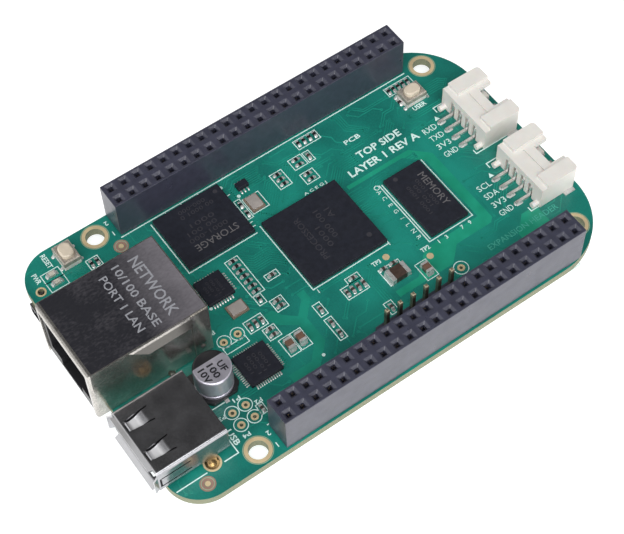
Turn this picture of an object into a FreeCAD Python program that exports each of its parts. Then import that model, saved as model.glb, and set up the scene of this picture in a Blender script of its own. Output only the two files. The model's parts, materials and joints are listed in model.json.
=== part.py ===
import FreeCAD, Part
import math
import os
import re

import Sketcher
from FreeCAD import Placement, Rotation, Vector

# Single board computer with an Ethernet jack, a USB host socket, two 2 x 23 expansion
# headers and two four-pin sensor sockets.  All sub-parts are drawn in the board's own
# frame (x from the connector end, y from the centre line, z from the top of the board)
# and then placed in the part's frame, whose origin is at the middle of the footprint on
# the surface that the part rests on.

doc = FreeCAD.newDocument("single_board_computer")
dims = doc.addObject("Spreadsheet::Sheet", "dims")

DIMENSIONS = {
    "placement of the board frame in the part's frame": {
        "frame_x": -41.93, "frame_z": 4.17,
    },
    "circuit board": {
        "board_length": 86.36, "board_width": 53.75, "board_thickness": 1.57,
        "port_corner_radius": 6.35, "far_corner_radius": 12.7,
        "mount_hole_radius": 1.5875, "mount_ring_radius": 2.25,
        "port_mount_x": 14.605, "port_mount_y": 24.13,
        "far_mount_x": 80.645, "far_mount_y": 20.955,
        "copper": 0.05, "pin_hole_radius": 0.5,
    },
    "expansion headers, two rows of 23 positions each": {
        "pitch": 2.54, "header_columns": 23, "header_first_x": 19.685, "header_y": 24.13,
        "header_length": 58.65, "header_width": 4.95, "header_top": 8.5, "header_gap": 0.35,
        "header_foot": 0.9, "header_hole": 0.8, "header_funnel": 0.42,
        "tail_side": 0.5, "tail_end": 3.3, "blade_thickness": 0.16, "blade_top": 6.6,
    },
    "debug header, one row of pins": {
        "debug_first_x": 42.4, "debug_y": -19.7, "debug_pins": 6, "debug_base": 2.5,
        "debug_pin": 0.64, "debug_top": 8.5,
    },
    "Ethernet jack": {
        "jack_front": -2.5, "jack_length": 21.4, "jack_width": 15.8, "jack_y": 2.7,
        "jack_top": 13.3, "jack_gap": 0.3, "jack_sheet": 0.25, "jack_fold": 0.6,
        "jack_rim": 0.95, "jack_insert": 13.4, "jack_leg_x": 11.3, "jack_leg": 1.0,
        "flap_reach": 0.8, "flap_low": 11.1, "flap_front": 4.6, "flap_low_front": 7.7,
        "flap_rear": 15.7, "wing_front": 15.8, "wing_low": 0.6, "wing_sheet": 0.2,
        "wing_latch_x": 17.1, "wing_latch_z": 2.9,
        "plug_width": 11.8, "plug_bottom": 2.9, "plug_top": 10.2, "plug_depth": 12.4,
        "latch_width": 6.2, "latch_bottom": 1.0, "comb_width": 8.6, "comb_top": 11.4,
        "jack_wire": 0.35, "jack_wire_pitch": 1.02, "light_width": 2.1, "light_height": 1.5,
        "light_bottom": 10.75, "light_offset": 5.75, "peg_radius": 1.55, "peg_x": 6.2,
        "peg_offset": 5.08, "jack_row_x": 14.6, "jack_row_pitch": 2.54,
        "magnetics_low": 0.6, "magnetics_height": 11.8,
    },
    "USB host socket": {
        "usb_front": -1.5, "usb_length": 12.6, "usb_width": 13.0, "usb_y": -15.3,
        "usb_bottom": 1.3, "usb_top": 7.0, "usb_sheet": 0.3, "usb_bend": 0.6,
        "usb_leg_x": 7.73, "usb_leg_hole": 1.15, "usb_leg_width": 1.7,
        "usb_tongue_width": 11.0, "usb_tongue_low": 3.9, "usb_tongue_high": 5.74,
        "usb_tongue_front": -0.4, "usb_block_front": 6.4, "usb_block_rear": 9.7,
        "usb_contact_width": 0.8, "usb_contact_sheet": 0.2, "usb_tail_x": 10.3,
        "usb_flare": 0.55, "usb_lip_reach": 0.8, "usb_slit": 0.3, "usb_slit_length": 5.2,
        "usb_slit_low": 2.6, "usb_slit_high": 4.9, "usb_slit_front": -0.9,
    },
    "micro USB socket, below the board": {
        "micro_front": -0.5, "micro_length": 5.6, "micro_width": 7.6, "micro_depth": 2.55,
        "micro_y": 16.5, "micro_sheet": 0.25, "micro_leg_x": 1.9, "micro_leg_offset": 3.6,
        "micro_leg": 0.8, "micro_block_start": 3.4, "micro_block_length": 1.4,
        "micro_tongue_start": 0.5, "micro_tongue_length": 3.4, "micro_tongue_width": 3.7,
        "micro_tongue_low": 1.45, "micro_tongue_height": 0.6, "micro_pitch": 0.65,
    },
    "memory card socket, below the board": {
        "card_rear": 71.2, "card_front": 86.0, "card_width": 14.6, "card_depth": 1.85,
        "card_sheet": 0.2, "card_floor": 0.4, "card_slider_width": 1.3,
        "card_slider_rear": 75.0, "card_slider_front": 79.2, "card_spring_radius": 0.38,
        "card_spring_wire": 0.15, "card_rear_wall": 0.6, "card_rail": 0.35,
        "card_far_wall": 1.2, "card_contact_pitch": 1.1,
    },
    "push buttons": {
        "button_length": 4.2, "button_width": 3.2, "button_height": 1.85,
        "button_tray": 0.9, "button_floor": 0.4, "plunger_length": 3.0,
        "plunger_width": 2.3, "plunger_corner": 1.05, "plunger_top": 2.6, "plunger_flange": 0.2,
        "plunger_low": 1.2, "plunger_gap": 0.06, "button_sheet": 0.2,
        "reset_x": 8.8, "reset_y": 23.3, "user_x": 74.9, "user_y": 16.4,
    },
    "four-pin sensor sockets": {
        "sensor_rear": 78.1, "sensor_front": 85.7, "sensor_width": 11.8, "sensor_top": 4.65,
        "sensor_rail_top": 5.35, "sensor_rail_rear": 79.2, "sensor_rail_width": 2.8,
        "sensor_pitch": 2.0, "sensor_wall": 0.85, "sensor_floor": 0.9,
        "sensor_cavity_rear": 80.5, "sensor_notch_width": 4.4, "sensor_notch_rear": 82.9,
        "sensor_slot_width": 1.1, "sensor_slot_depth": 1.1, "sensor_slot_top": 3.5,
        "sensor_peg_radius": 0.55, "sensor_peg_length": 1.2, "sensor_pin_z": 2.5,
        "sensor_wire": 0.5, "sensor_wire_tip": 84.4, "sensor_foot_x": 75.2,
        "uart_y": 5.995, "i2c_y": -9.005,
    },
    "chips": {
        "processor_x": 45.75, "processor_y": 2.0, "processor_side": 15.0,
        "flash_x": 30.2, "flash_y": 14.745, "flash_length": 13.0, "flash_width": 11.5,
        "memory_x": 63.5, "memory_y": -2.405, "memory_length": 7.6, "memory_width": 13.5,
        "ball_height": 0.3, "package_top": 1.2, "mould_chamfer": 0.08,
        "network_x": 25.0, "network_y": 3.765, "network_side": 5.0,
        "power_x": 22.85, "power_y": -11.905, "power_side": 6.0,
        "lead_height": 0.15, "flat_chip_top": 0.9,
        "logic_x": 40.1, "logic_y": 18.095, "logic_length": 2.1, "logic_width": 1.3,
    },
    "capacitor can": {
        "can_x": 15.45, "can_y": -10.755, "can_radius": 3.15, "can_top": 5.8,
        "can_base_side": 6.6, "can_base_height": 0.9, "can_base_cut": 1.2,
        "can_groove": 0.22, "can_groove_z": 1.55, "can_round": 0.35,
    },
}

sheet_row = 0
for group, cells in DIMENSIONS.items():
    sheet_row += 1
    dims.set(f"A{sheet_row}", group)
    for alias, number in cells.items():
        sheet_row += 1
        dims.set(f"A{sheet_row}", alias)
        dims.set(f"B{sheet_row}", str(number))
        dims.setAlias(f"B{sheet_row}", alias)
doc.recompute()

NODES = []


# ---------------------------------------------------------------- helpers

def cell(alias):
    """The number that the sheet holds under an alias."""
    return float(dims.get(alias))


def from_sheet(formula):
    """A formula on aliases, as an expression on the sheet's cells."""
    return re.sub(r"[a-z][a-z0-9_]*", r"dims.\g<0>", str(formula))


def place(solid, low):
    """Binds the base point of a primitive to three formulas."""
    for axis, formula in zip("xyz", low):
        solid.setExpression("Placement.Base." + axis, from_sheet(formula))


def box(name, low, size):
    """A block from its low corner and its size, each given as three formulas."""
    solid = doc.addObject("Part::Box", name)
    for side, formula in zip(("Length", "Width", "Height"), size):
        solid.setExpression(side, from_sheet(formula))
    place(solid, low)
    return solid


def centred_box(name, centre, low, size):
    """A block whose plan is centred on (x, y)."""
    corner = [f"{c} - ({s}) / 2" for c, s in zip(centre, size)]
    return box(name, (*corner, low), size)


def cylinder(name, base, radius, height):
    solid = doc.addObject("Part::Cylinder", name)
    solid.setExpression("Radius", from_sheet(radius))
    solid.setExpression("Height", from_sheet(height))
    place(solid, base)
    return solid


def fuse(name, *solids):
    result = doc.addObject("Part::MultiFuse", name)
    result.Shapes = list(solids)
    return result


def cut(name, base, *tools):
    result = doc.addObject("Part::Cut", name)
    result.Base = base
    result.Tool = tools[0] if len(tools) == 1 else fuse(name + "_tools", *tools)
    return result


def feature(name, shape):
    result = doc.addObject("Part::Feature", name)
    result.Shape = shape
    return result


def node(solid, label):
    """Makes an object a sub-part: its label names its file, its placement is the board's."""
    solid.Label = label
    solid.setExpression("Placement.Base.x", "dims.frame_x")
    solid.setExpression("Placement.Base.z", "dims.frame_z")
    NODES.append(solid)
    return solid


def edge_numbers(shape, wanted):
    """Numbers of the edges whose bounding box passes the test."""
    return [n for n, edge in enumerate(shape.Edges, 1) if wanted(edge.BoundBox)]


def near(value, target):
    return abs(value - target) < 1e-4


def soften(name, base, size, wanted, kind="Part::Fillet"):
    """Rounds or chamfers the edges of a Part object that pass the test."""
    doc.recompute()
    result = doc.addObject(kind, name)
    result.Base = base
    result.Edges = [(n, size, size) for n in edge_numbers(base.Shape, wanted)]
    return result


def slab(points, y_low, width):
    """A plate drawn as an outline in the xz plane and made solid along y."""
    outline = Part.makePolygon([Vector(x, y_low, z) for x, z in points + points[:1]])
    return Part.Face(outline).extrude(Vector(0, width, 0))


def bent_wire(points, bend, width, thickness, y_centre):
    """A flat wire along a route in the xz plane, with a round bend at each inner point."""
    route = [Vector(x, y_centre, z) for x, z in points]
    edges = []
    start = route[0]
    for before, corner, after in zip(route, route[1:], route[2:]):
        back = (before - corner).normalize()
        ahead = (after - corner).normalize()
        half_turn = (math.pi - back.getAngle(ahead)) / 2
        setback = bend * math.tan(half_turn)
        middle = (back + ahead).normalize() * (bend / math.cos(half_turn) - bend)
        arc_in = corner + back * setback
        arc_out = corner + ahead * setback
        edges.append(Part.LineSegment(start, arc_in).toShape())
        edges.append(Part.Arc(arc_in, corner + middle, arc_out).toShape())
        start = arc_out
    edges.append(Part.LineSegment(start, route[-1]).toShape())
    along = (route[1] - route[0]).normalize()
    across = Vector(0, 1, 0)
    rise = along.cross(across) * (thickness / 2)
    side = across * (width / 2)
    corners = [route[0] + rise + side, route[0] + rise - side,
               route[0] - rise - side, route[0] - rise + side]
    section = Part.makePolygon(corners + corners[:1])
    return Part.Wire(edges).makePipeShell([section], True, False)


def copies(shape, places):
    """One compound of separate solids, the shape repeated at each place."""
    return Part.makeCompound([shape.translated(Vector(*spot)) for spot in places])


# ---------------------------------------------------------------- sketch and body helpers

def new_body(name):
    body = doc.addObject("PartDesign::Body", name)
    body.AllowCompound = True
    return body


def sketch_on(body, role, name, offset="0"):
    """A sketch on one of the body's origin planes, lifted by a formula."""
    sketch = body.newObject("Sketcher::SketchObject", name)
    plane = next(item for item in body.Origin.OriginFeatures if item.Role == role)
    sketch.AttachmentSupport = (plane, "")
    sketch.MapMode = "FlatFace"
    sketch.setExpression("AttachmentOffset.Base.z", from_sheet(offset))
    return sketch


def dimension(sketch, kind, ends, formula):
    number = sketch.addConstraint(Sketcher.Constraint(kind, *ends, 1.0))
    sketch.setExpression(f"Constraints[{number}]", from_sheet(formula))


def rectangle(sketch, low, size):
    """A rectangle from its low corner and its size, bound to formulas."""
    first = sketch.GeometryCount
    corners = [Vector(0, 0, 0), Vector(1, 0, 0), Vector(1, 1, 0), Vector(0, 1, 0)]
    for start, end in zip(corners, corners[1:] + corners[:1]):
        sketch.addGeometry(Part.LineSegment(start, end), False)
    for side in range(4):
        following = first + (side + 1) % 4
        sketch.addConstraint(Sketcher.Constraint("Coincident", first + side, 2, following, 1))
        level = "Horizontal" if side % 2 == 0 else "Vertical"
        sketch.addConstraint(Sketcher.Constraint(level, first + side))
    dimension(sketch, "DistanceX", (first, 1, first, 2), size[0])
    dimension(sketch, "DistanceY", (first + 1, 1, first + 1, 2), size[1])
    dimension(sketch, "DistanceX", (-1, 1, first, 1), low[0])
    dimension(sketch, "DistanceY", (-1, 1, first, 1), low[1])


def centred_rectangle(sketch, centre, size):
    low = [f"{c} - ({s}) / 2" for c, s in zip(centre, size)]
    rectangle(sketch, low, size)


def circle(sketch, centre, radius):
    number = sketch.addGeometry(Part.Circle(Vector(1, 1, 0), Vector(0, 0, 1), 1.0), False)
    dimension(sketch, "DistanceX", (-1, 1, number, 3), centre[0])
    dimension(sketch, "DistanceY", (-1, 1, number, 3), centre[1])
    radius_number = sketch.addConstraint(Sketcher.Constraint("Radius", number, 1.0))
    sketch.setExpression(f"Constraints[{radius_number}]", from_sheet(radius))


def pad(body, sketch, length, name):
    """Raises a sketch along +z (or its plane's normal)."""
    result = body.newObject("PartDesign::Pad", name)
    result.Profile = sketch
    result.setExpression("Length", from_sheet(length))
    return result


def pocket(body, sketch, depth, name):
    """Cuts a sketch down from its plane, and proves that it removed material."""
    doc.recompute()
    before = body.Shape.Volume
    result = body.newObject("PartDesign::Pocket", name)
    result.Profile = sketch
    result.setExpression("Length", from_sheet(depth))
    doc.recompute()
    if body.Shape.Volume > before - 1e-6:
        raise RuntimeError(name + " cuts nothing")
    return result


def linear_pattern(body, original, sketch, length, count, name):
    result = body.newObject("PartDesign::LinearPattern", name)
    result.Originals = [original]
    result.Direction = (sketch, ["H_Axis"])
    result.setExpression("Length", from_sheet(length))
    result.setExpression("Occurrences", from_sheet(count))
    result.Refine = False
    body.Tip = result
    return result


def dress(body, kind, size, wanted, name):
    """A chamfer or fillet of the body on the edges that pass the test."""
    doc.recompute()
    base = body.Tip
    result = body.newObject(kind, name)
    numbers = edge_numbers(base.Shape, wanted)
    result.Base = (base, [f"Edge{n}" for n in numbers])
    result.Refine = False
    attribute = "Size" if kind.endswith("Chamfer") else "Radius"
    result.setExpression(attribute, from_sheet(size))
    return result


# ---------------------------------------------------------------- circuit board

HEADER_SIDES = {"near": -1, "far": 1}
# Plated through holes beside the power chip and the debug header, as x, y.
TEST_HOLES = [(20.8, -5.3), (23.5, -5.3), (14.9, -16.6), (17.4, -16.6), (14.9, -19.1),
              (17.4, -19.1), (60.1, -16.5)]
TEST_HOLE_RADIUS = 0.3
TEST_PAD_RADIUS = 0.65
# Round pads with no hole: two fiducials and two test pads, as x, y, radius.
FLAT_PADS = [(17.2, 20.0, 0.45), (5.25, -24.3, 0.45), (51.4, -7.6, 0.6), (57.4, -11.7, 0.6)]
USB_PIN_OFFSETS = (-3.5, -1.0, 1.0, 3.5)


def header_pins(side):
    """Places of the pins of one header."""
    rows = [side * cell("header_y") + step * cell("pitch") / 2 for step in (-1, 1)]
    columns = [cell("header_first_x") + n * cell("pitch")
               for n in range(int(cell("header_columns")))]
    return [(x, y, 0) for x in columns for y in rows]


def jack_pins():
    """Places of the Ethernet jack's two staggered rows of pins."""
    half_count = 2
    spots = []
    for row in range(2):
        for n in range(-half_count, half_count + 1):
            y = cell("jack_y") + (n + row / 2 - 0.25) * cell("jack_row_pitch")
            spots.append((cell("jack_row_x") + row * cell("jack_row_pitch"), y, 0))
    return spots


def debug_pins():
    return [(cell("debug_first_x") + n * cell("pitch"), cell("debug_y"), 0)
            for n in range(int(cell("debug_pins")))]


def rounded_board(sketch):
    """Outline with two small corners at the port end and two large ones at the far end."""
    length, half = cell("board_length"), cell("board_width") / 2
    small, large = cell("port_corner_radius"), cell("far_corner_radius")
    corners = [(small, -half + small, small, 180), (length - large, -half + large, large, 270),
               (length - large, half - large, large, 0), (small, half - small, small, 90)]
    arcs = []
    for x, y, radius, start in corners:
        round_edge = Part.Circle(Vector(x, y, 0), Vector(0, 0, 1), radius)
        first, last = math.radians(start), math.radians(start + 90)
        arcs.append(sketch.addGeometry(Part.ArcOfCircle(round_edge, first, last), False))
    sides = []
    for number, arc in enumerate(arcs):
        following = arcs[(number + 1) % 4]
        begin = sketch.getPoint(arc, 2)
        end = sketch.getPoint(following, 1)
        side = sketch.addGeometry(Part.LineSegment(begin, end), False)
        sketch.addConstraint(Sketcher.Constraint("Tangent", arc, 2, side, 1))
        sketch.addConstraint(Sketcher.Constraint("Tangent", side, 2, following, 1))
        sides.append(side)
    for side, level in zip(sides, ("Horizontal", "Vertical", "Horizontal", "Vertical")):
        sketch.addConstraint(Sketcher.Constraint(level, side))
    for arc, radius in zip(arcs, ("port_corner_radius", "far_corner_radius",
                                  "far_corner_radius", "port_corner_radius")):
        number = sketch.addConstraint(Sketcher.Constraint("Radius", arc, 1.0 * cell(radius)))
        sketch.setExpression(f"Constraints[{number}]", from_sheet(radius))
    for kind, side, formula in (("DistanceY", sides[0], "-board_width / 2"),
                                ("DistanceX", sides[1], "board_length"),
                                ("DistanceY", sides[2], "board_width / 2"),
                                ("DistanceX", sides[3], "0")):
        point = sketch.getPoint(side, 1)
        seed = point.x if kind == "DistanceX" else point.y
        number = sketch.addConstraint(Sketcher.Constraint(kind, -1, 1, side, 1, seed))
        sketch.setExpression(f"Constraints[{number}]", from_sheet(formula))


def circuit_board():
    body = new_body("circuit_board")
    outline = sketch_on(body, "XY_Plane", "board_outline", "-board_thickness")
    rounded_board(outline)
    pad(body, outline, "board_thickness", "board_slab")

    mounts = sketch_on(body, "XY_Plane", "mount_hole_sketch")
    for end in ("port", "far"):
        for sign in ("-", ""):
            circle(mounts, (f"{end}_mount_x", f"{sign}{end}_mount_y"), "mount_hole_radius")
    pocket(body, mounts, "board_thickness", "mount_holes")

    column = sketch_on(body, "XY_Plane", "header_hole_sketch")
    for side in HEADER_SIDES.values():
        for step in ("- pitch / 2", "+ pitch / 2"):
            circle(column, ("header_first_x", f"{side} * header_y {step}"), "pin_hole_radius")
    first_column = pocket(body, column, "board_thickness", "header_holes_first")
    linear_pattern(body, first_column, column, "(header_columns - 1) * pitch",
                   "header_columns", "header_holes")

    pins = sketch_on(body, "XY_Plane", "socket_hole_sketch")
    for sign in ("-", "+"):
        circle(pins, ("usb_leg_x", f"usb_y {sign} usb_width / 2"), "usb_leg_hole")
        circle(pins, ("jack_leg_x", f"jack_y {sign} jack_width / 2"), "jack_leg * 0.8")
        circle(pins, ("peg_x", f"jack_y {sign} peg_offset"), "peg_radius + 0.05")
        circle(pins, ("micro_leg_x", f"micro_y {sign} micro_leg_offset"), "0.6")
    for offset in USB_PIN_OFFSETS:
        circle(pins, ("usb_tail_x", f"usb_y + {offset}"), "pin_hole_radius + 0.05")
    for x, y, _ in jack_pins() + debug_pins():
        circle(pins, (x, y), "pin_hole_radius")
    for x, y in TEST_HOLES:
        circle(pins, (x, y), TEST_HOLE_RADIUS)
    pocket(body, pins, "board_thickness", "socket_holes")
    return node(body, "circuit_board")


def ring(x, y, outer, inner, bottom):
    disc = Part.makeCylinder(outer, cell("copper"), Vector(x, y, bottom))
    if inner == 0:
        return disc
    return disc.cut(Part.makeCylinder(inner, cell("copper"), Vector(x, y, bottom)))


def plated_pads():
    """Copper lands around the mounting, leg and test holes, on both faces of the board."""
    under = -cell("board_thickness") - cell("copper")
    rings = []
    mount_hole = cell("mount_hole_radius") + 0.03
    usb_hole = cell("usb_leg_hole")
    for sign in (-1, 1):
        both_faces = [
            (cell("port_mount_x"), sign * cell("port_mount_y"), cell("mount_ring_radius"), mount_hole),
            (cell("far_mount_x"), sign * cell("far_mount_y"), cell("mount_ring_radius"), mount_hole),
            (cell("usb_leg_x"), cell("usb_y") + sign * cell("usb_width") / 2,
             usb_hole + 0.35, usb_hole),
            (cell("micro_leg_x"), cell("micro_y") + sign * cell("micro_leg_offset"), 0.9, 0.6),
        ]
        for x, y, outer, inner in both_faces:
            rings += [ring(x, y, outer, inner, 0), ring(x, y, outer, inner, under)]
    for x, y in TEST_HOLES:
        rings += [ring(x, y, TEST_PAD_RADIUS, TEST_HOLE_RADIUS, z) for z in (0, under)]
    rings += [ring(x, y, radius, 0, 0) for x, y, radius in FLAT_PADS]
    return node(feature("plated_pads", Part.makeCompound(rings)), "plated_pads")


# ---------------------------------------------------------------- headers

def header_housing(side_name):
    side = HEADER_SIDES[side_name]
    body = new_body(side_name + "_header_housing")
    middle_x = "header_first_x + (header_columns - 1) * pitch / 2"
    block = sketch_on(body, "XY_Plane", side_name + "_header_plan", "header_gap")
    centred_rectangle(block, (middle_x, f"{side} * header_y"), ("header_length", "header_width"))
    pad(body, block, "header_top - header_gap", side_name + "_header_block")

    # Feet between the pins hold the block clear of the solder.
    feet = sketch_on(body, "XY_Plane", side_name + "_header_feet_plan")
    for column in (0.5, 7.5, 14.5, 21.5):
        centred_rectangle(feet, (f"header_first_x + {column} * pitch", f"{side} * header_y"),
                          ("header_foot", "header_width"))
    pad(body, feet, "header_gap", side_name + "_header_feet")

    # One square hole for each pin, open right through, with a funnel at its mouth.
    first = sketch_on(body, "XY_Plane", side_name + "_header_hole_plan", "header_top")
    for step in ("- pitch / 2", "+ pitch / 2"):
        centred_rectangle(first, ("header_first_x", f"{side} * header_y {step}"),
                          ("header_hole", "header_hole"))
    first_holes = pocket(body, first, "header_top - header_gap", side_name + "_header_first_holes")
    linear_pattern(body, first_holes, first, "(header_columns - 1) * pitch",
                   "header_columns", side_name + "_header_holes")
    top, hole = cell("header_top"), cell("header_hole")

    def is_mouth(extent):
        short = max(extent.XLength, extent.YLength) < hole + 0.01
        return short and near(extent.ZMin, top) and near(extent.ZMax, top)

    dress(body, "PartDesign::Chamfer", "header_funnel", is_mouth, side_name + "_header_funnels")
    return node(body, side_name + "_header_housing")


def header_contact():
    """One contact at the origin: solder tail, base and two spring blades."""
    width = "header_hole - 0.04"
    tail = centred_box("contact_tail", ("0", "0"), "-tail_end",
                       ("tail_side", "tail_side", "tail_end + 1.2"))
    base = centred_box("contact_base", ("0", "0"), "0.8", (width, "0.5", "0.4"))
    blades = []
    for name, x in (("left", "-(header_hole - 0.04) / 2"),
                    ("right", "(header_hole - 0.04) / 2 - blade_thickness")):
        blades.append(box(f"contact_blade_{name}", (x, "-0.25", "1.1"),
                          ("blade_thickness", "0.5", "blade_top - 1.1")))
    return fuse("header_contact", tail, base, *blades)


def headers():
    contact = header_contact()
    doc.recompute()
    for side_name, side in HEADER_SIDES.items():
        header_housing(side_name)
        group = copies(contact.Shape, header_pins(side))
        node(feature(side_name + "_header_contacts", group), side_name + "_header_contacts")


def debug_header():
    middle_x = "debug_first_x + (debug_pins - 1) * pitch / 2"
    body = new_body("debug_header_base")
    plan = sketch_on(body, "XY_Plane", "debug_base_plan")
    centred_rectangle(plan, (middle_x, "debug_y"), ("debug_pins * pitch", "pitch"))
    pad(body, plan, "debug_base", "debug_block")
    hole = sketch_on(body, "XY_Plane", "debug_hole_plan", "debug_base")
    centred_rectangle(hole, ("debug_first_x", "debug_y"), ("debug_pin + 0.02", "debug_pin + 0.02"))
    first = pocket(body, hole, "debug_base", "debug_first_hole")
    linear_pattern(body, first, hole, "(debug_pins - 1) * pitch", "debug_pins", "debug_holes")
    node(body, "debug_header_base")

    blank = centred_box("debug_pin_blank", ("0", "0"), "-tail_end",
                        ("debug_pin", "debug_pin", "debug_top + tail_end"))
    top = cell("debug_top")
    pin = soften("debug_pin_tipped", blank, 0.15,
                 lambda e: near(e.ZMin, top) and near(e.ZMax, top), "Part::Chamfer")
    doc.recompute()
    node(feature("debug_header_pins", copies(pin.Shape, debug_pins())), "debug_header_pins")


# ---------------------------------------------------------------- Ethernet jack

def ethernet_shield():
    """Folded steel can: four walls and a rear cover whose wings and flaps lap over the sides."""
    low_y = "jack_y - jack_width / 2"
    height = "jack_top - jack_gap"
    outer = box("jack_outer", ("jack_front", low_y, "jack_gap"), ("jack_length", "jack_width", height))
    front, top, fold = cell("jack_front"), cell("jack_top"), cell("jack_fold")

    def is_front_fold(extent):
        at_front = near(extent.XMin, front) and near(extent.XMax, front)
        return at_front and extent.ZMax > cell("jack_gap") + 1

    rounded = soften("jack_folded", outer, fold, is_front_fold)
    inner = box("jack_inside", ("jack_front + jack_sheet", low_y + " + jack_sheet", "0"),
                ("jack_length - 2 * jack_sheet", "jack_width - 2 * jack_sheet",
                 "jack_top - jack_sheet"))
    mouth = box("jack_mouth", ("jack_front - 1", low_y + " + jack_rim", "0"),
                ("2", "jack_width - 2 * jack_rim", "jack_top - jack_rim"))
    can = cut("jack_can", rounded, inner, mouth)

    # The rear cover's wings: a panel down each back corner, and a flap that leans out
    # from the top edge.
    rear = front + cell("jack_length")
    under_fold = top - fold / 2
    panel_front, panel_low, sheet = cell("wing_front"), cell("wing_low"), cell("wing_sheet")
    panel = [(panel_front, under_fold), (rear, under_fold), (rear, panel_low), (panel_front, panel_low)]
    flap_rear, flap_low = cell("flap_rear"), cell("flap_low")
    wings = []
    for name, sign in (("near", -1), ("far", 1)):
        wall = cell("jack_y") + sign * cell("jack_width") / 2
        wings.append(feature(f"jack_wing_{name}", slab(panel, min(wall, wall + sign * sheet), sheet)))
        upper_y, lower_y = wall - sign * 0.05, wall + sign * cell("flap_reach")
        outline = [Vector(cell("flap_front"), upper_y, under_fold),
                   Vector(flap_rear, upper_y, under_fold),
                   Vector(flap_rear, lower_y, flap_low),
                   Vector(cell("flap_low_front"), lower_y, flap_low)]
        flap = Part.Face(Part.makePolygon(outline + outline[:1]))
        # The flap's thickness is laid off square to its lean.
        wings.append(feature(f"jack_flap_{name}", flap.extrude(Vector(0, -sign * 0.18, -0.08))))
    near_wing = cell("jack_y") - cell("jack_width") / 2 - sheet
    latch_base = Vector(cell("wing_latch_x"), near_wing, cell("wing_latch_z"))
    latch = feature("jack_wing_latch", Part.makeCone(0.55, 0.3, 0.3, latch_base, Vector(0, -1, 0)))

    legs = []
    for name, y in (("near", low_y), ("far", "jack_y + jack_width / 2 - jack_sheet")):
        legs.append(box(f"jack_leg_{name}", ("jack_leg_x - jack_leg / 2", y, "-tail_end"),
                        ("jack_leg", "jack_sheet", "tail_end + 2")))
    return node(fuse("ethernet_shield", can, *wings, latch, *legs), "ethernet_shield")


def ethernet_housing():
    """Black insert: plug cavity with a latch slot below, a comb above and two light wells."""
    start = "jack_front + jack_sheet + 0.05"
    width = "jack_width - 2 * jack_sheet - 0.1"
    block = box("insert_block", (start, f"jack_y - ({width}) / 2", "jack_gap + 0.05"),
                ("jack_insert", width, "jack_top - jack_sheet - jack_gap - 0.1"))
    cavity = box("insert_cavity", (start + " - 1", "jack_y - plug_width / 2", "plug_bottom"),
                 ("plug_depth + 1", "plug_width", "plug_top - plug_bottom"))
    latch = box("insert_latch", (start + " - 1", "jack_y - latch_width / 2", "latch_bottom"),
                ("plug_depth + 1", "latch_width", "plug_bottom - latch_bottom + 0.1"))
    comb = box("insert_comb", (start + " + 0.8", "jack_y - comb_width / 2", "plug_top - 0.1"),
               ("plug_depth - 0.8", "comb_width", "comb_top - plug_top + 0.1"))
    wells = []
    for name, sign in (("left", "-"), ("right", "+")):
        centre = f"jack_y {sign} light_offset"
        wells.append(box(f"insert_well_{name}",
                         (start + " - 1", f"{centre} - light_width / 2 - 0.03", "light_bottom - 0.03"),
                         ("jack_insert + 2", "light_width + 0.06", "light_height + 0.06")))
    pegs = []
    for name, sign in (("left", "-"), ("right", "+")):
        base = ("peg_x", f"jack_y {sign} peg_offset", "-board_thickness - 0.6")
        pegs.append(cylinder(f"insert_peg_{name}", base, "peg_radius", "board_thickness + 2"))
    hollow = cut("insert_hollow", block, cavity, latch, comb, *wells)
    return node(fuse("ethernet_housing", hollow, *pegs), "ethernet_housing")


def ethernet_inside():
    """Spring wires, light pipes and the sealed block of transformers behind the insert."""
    start = cell("jack_front") + cell("jack_sheet") + 0.05
    rear_wall = start + cell("plug_depth")
    wire = cell("jack_wire")
    high = cell("comb_top") - wire
    # Each spring runs forward along the comb, then slopes back down into the plug's space.
    route = [(rear_wall, high), (start + 1.8, high), (start + 8.6, 7.4)]
    springs = []
    for n in range(8):
        y = cell("jack_y") + (n - 3.5) * cell("jack_wire_pitch")
        springs.append(bent_wire(route, wire, wire, wire, y))
    tail = Part.makeBox(cell("tail_side"), cell("tail_side"), cell("tail_end") + 0.6,
                        Vector(-cell("tail_side") / 2, -cell("tail_side") / 2, -cell("tail_end")))
    tails = [tail.translated(Vector(*spot)) for spot in jack_pins()]
    group = Part.makeCompound(springs + tails)
    node(feature("ethernet_contacts", group), "ethernet_contacts")

    for name, sign in (("left", "-"), ("right", "+")):
        pipe = box(f"light_pipe_{name}",
                   ("jack_front + jack_sheet + 0.05",
                    f"jack_y {sign} light_offset - light_width / 2", "light_bottom"),
                   ("jack_insert - 0.5", "light_width", "light_height"))
        window = soften(f"light_window_{name}", pipe, 0.2,
                        lambda e: near(e.XMin, start) and near(e.XMax, start))
        node(window, f"ethernet_light_{name}")

    rear_start = "jack_front + jack_sheet + jack_insert + 0.15"
    length = "jack_length - 2 * jack_sheet - jack_insert - 0.3"
    block = box("magnetics_block", (rear_start, "jack_y - jack_width / 2 + 0.5", "magnetics_low"),
                (length, "jack_width - 1", "magnetics_height"))
    node(soften("magnetics_softened", block, 0.4, lambda e: e.ZLength > 5, "Part::Chamfer"),
         "ethernet_magnetics")


# ---------------------------------------------------------------- USB host socket

USB_SPRING_ROOT = 3.4
USB_SPRING_TIP = -0.75
USB_SPRING_OFFSET = 2.97


def plan_slab(points, y_centre, low, height):
    """An upright slab over a plan outline, whose y is measured from a centre line."""
    outline = [Vector(x, y_centre + y, low) for x, y in points + points[:1]]
    return Part.Face(Part.makePolygon(outline)).extrude(Vector(0, 0, height))


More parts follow.
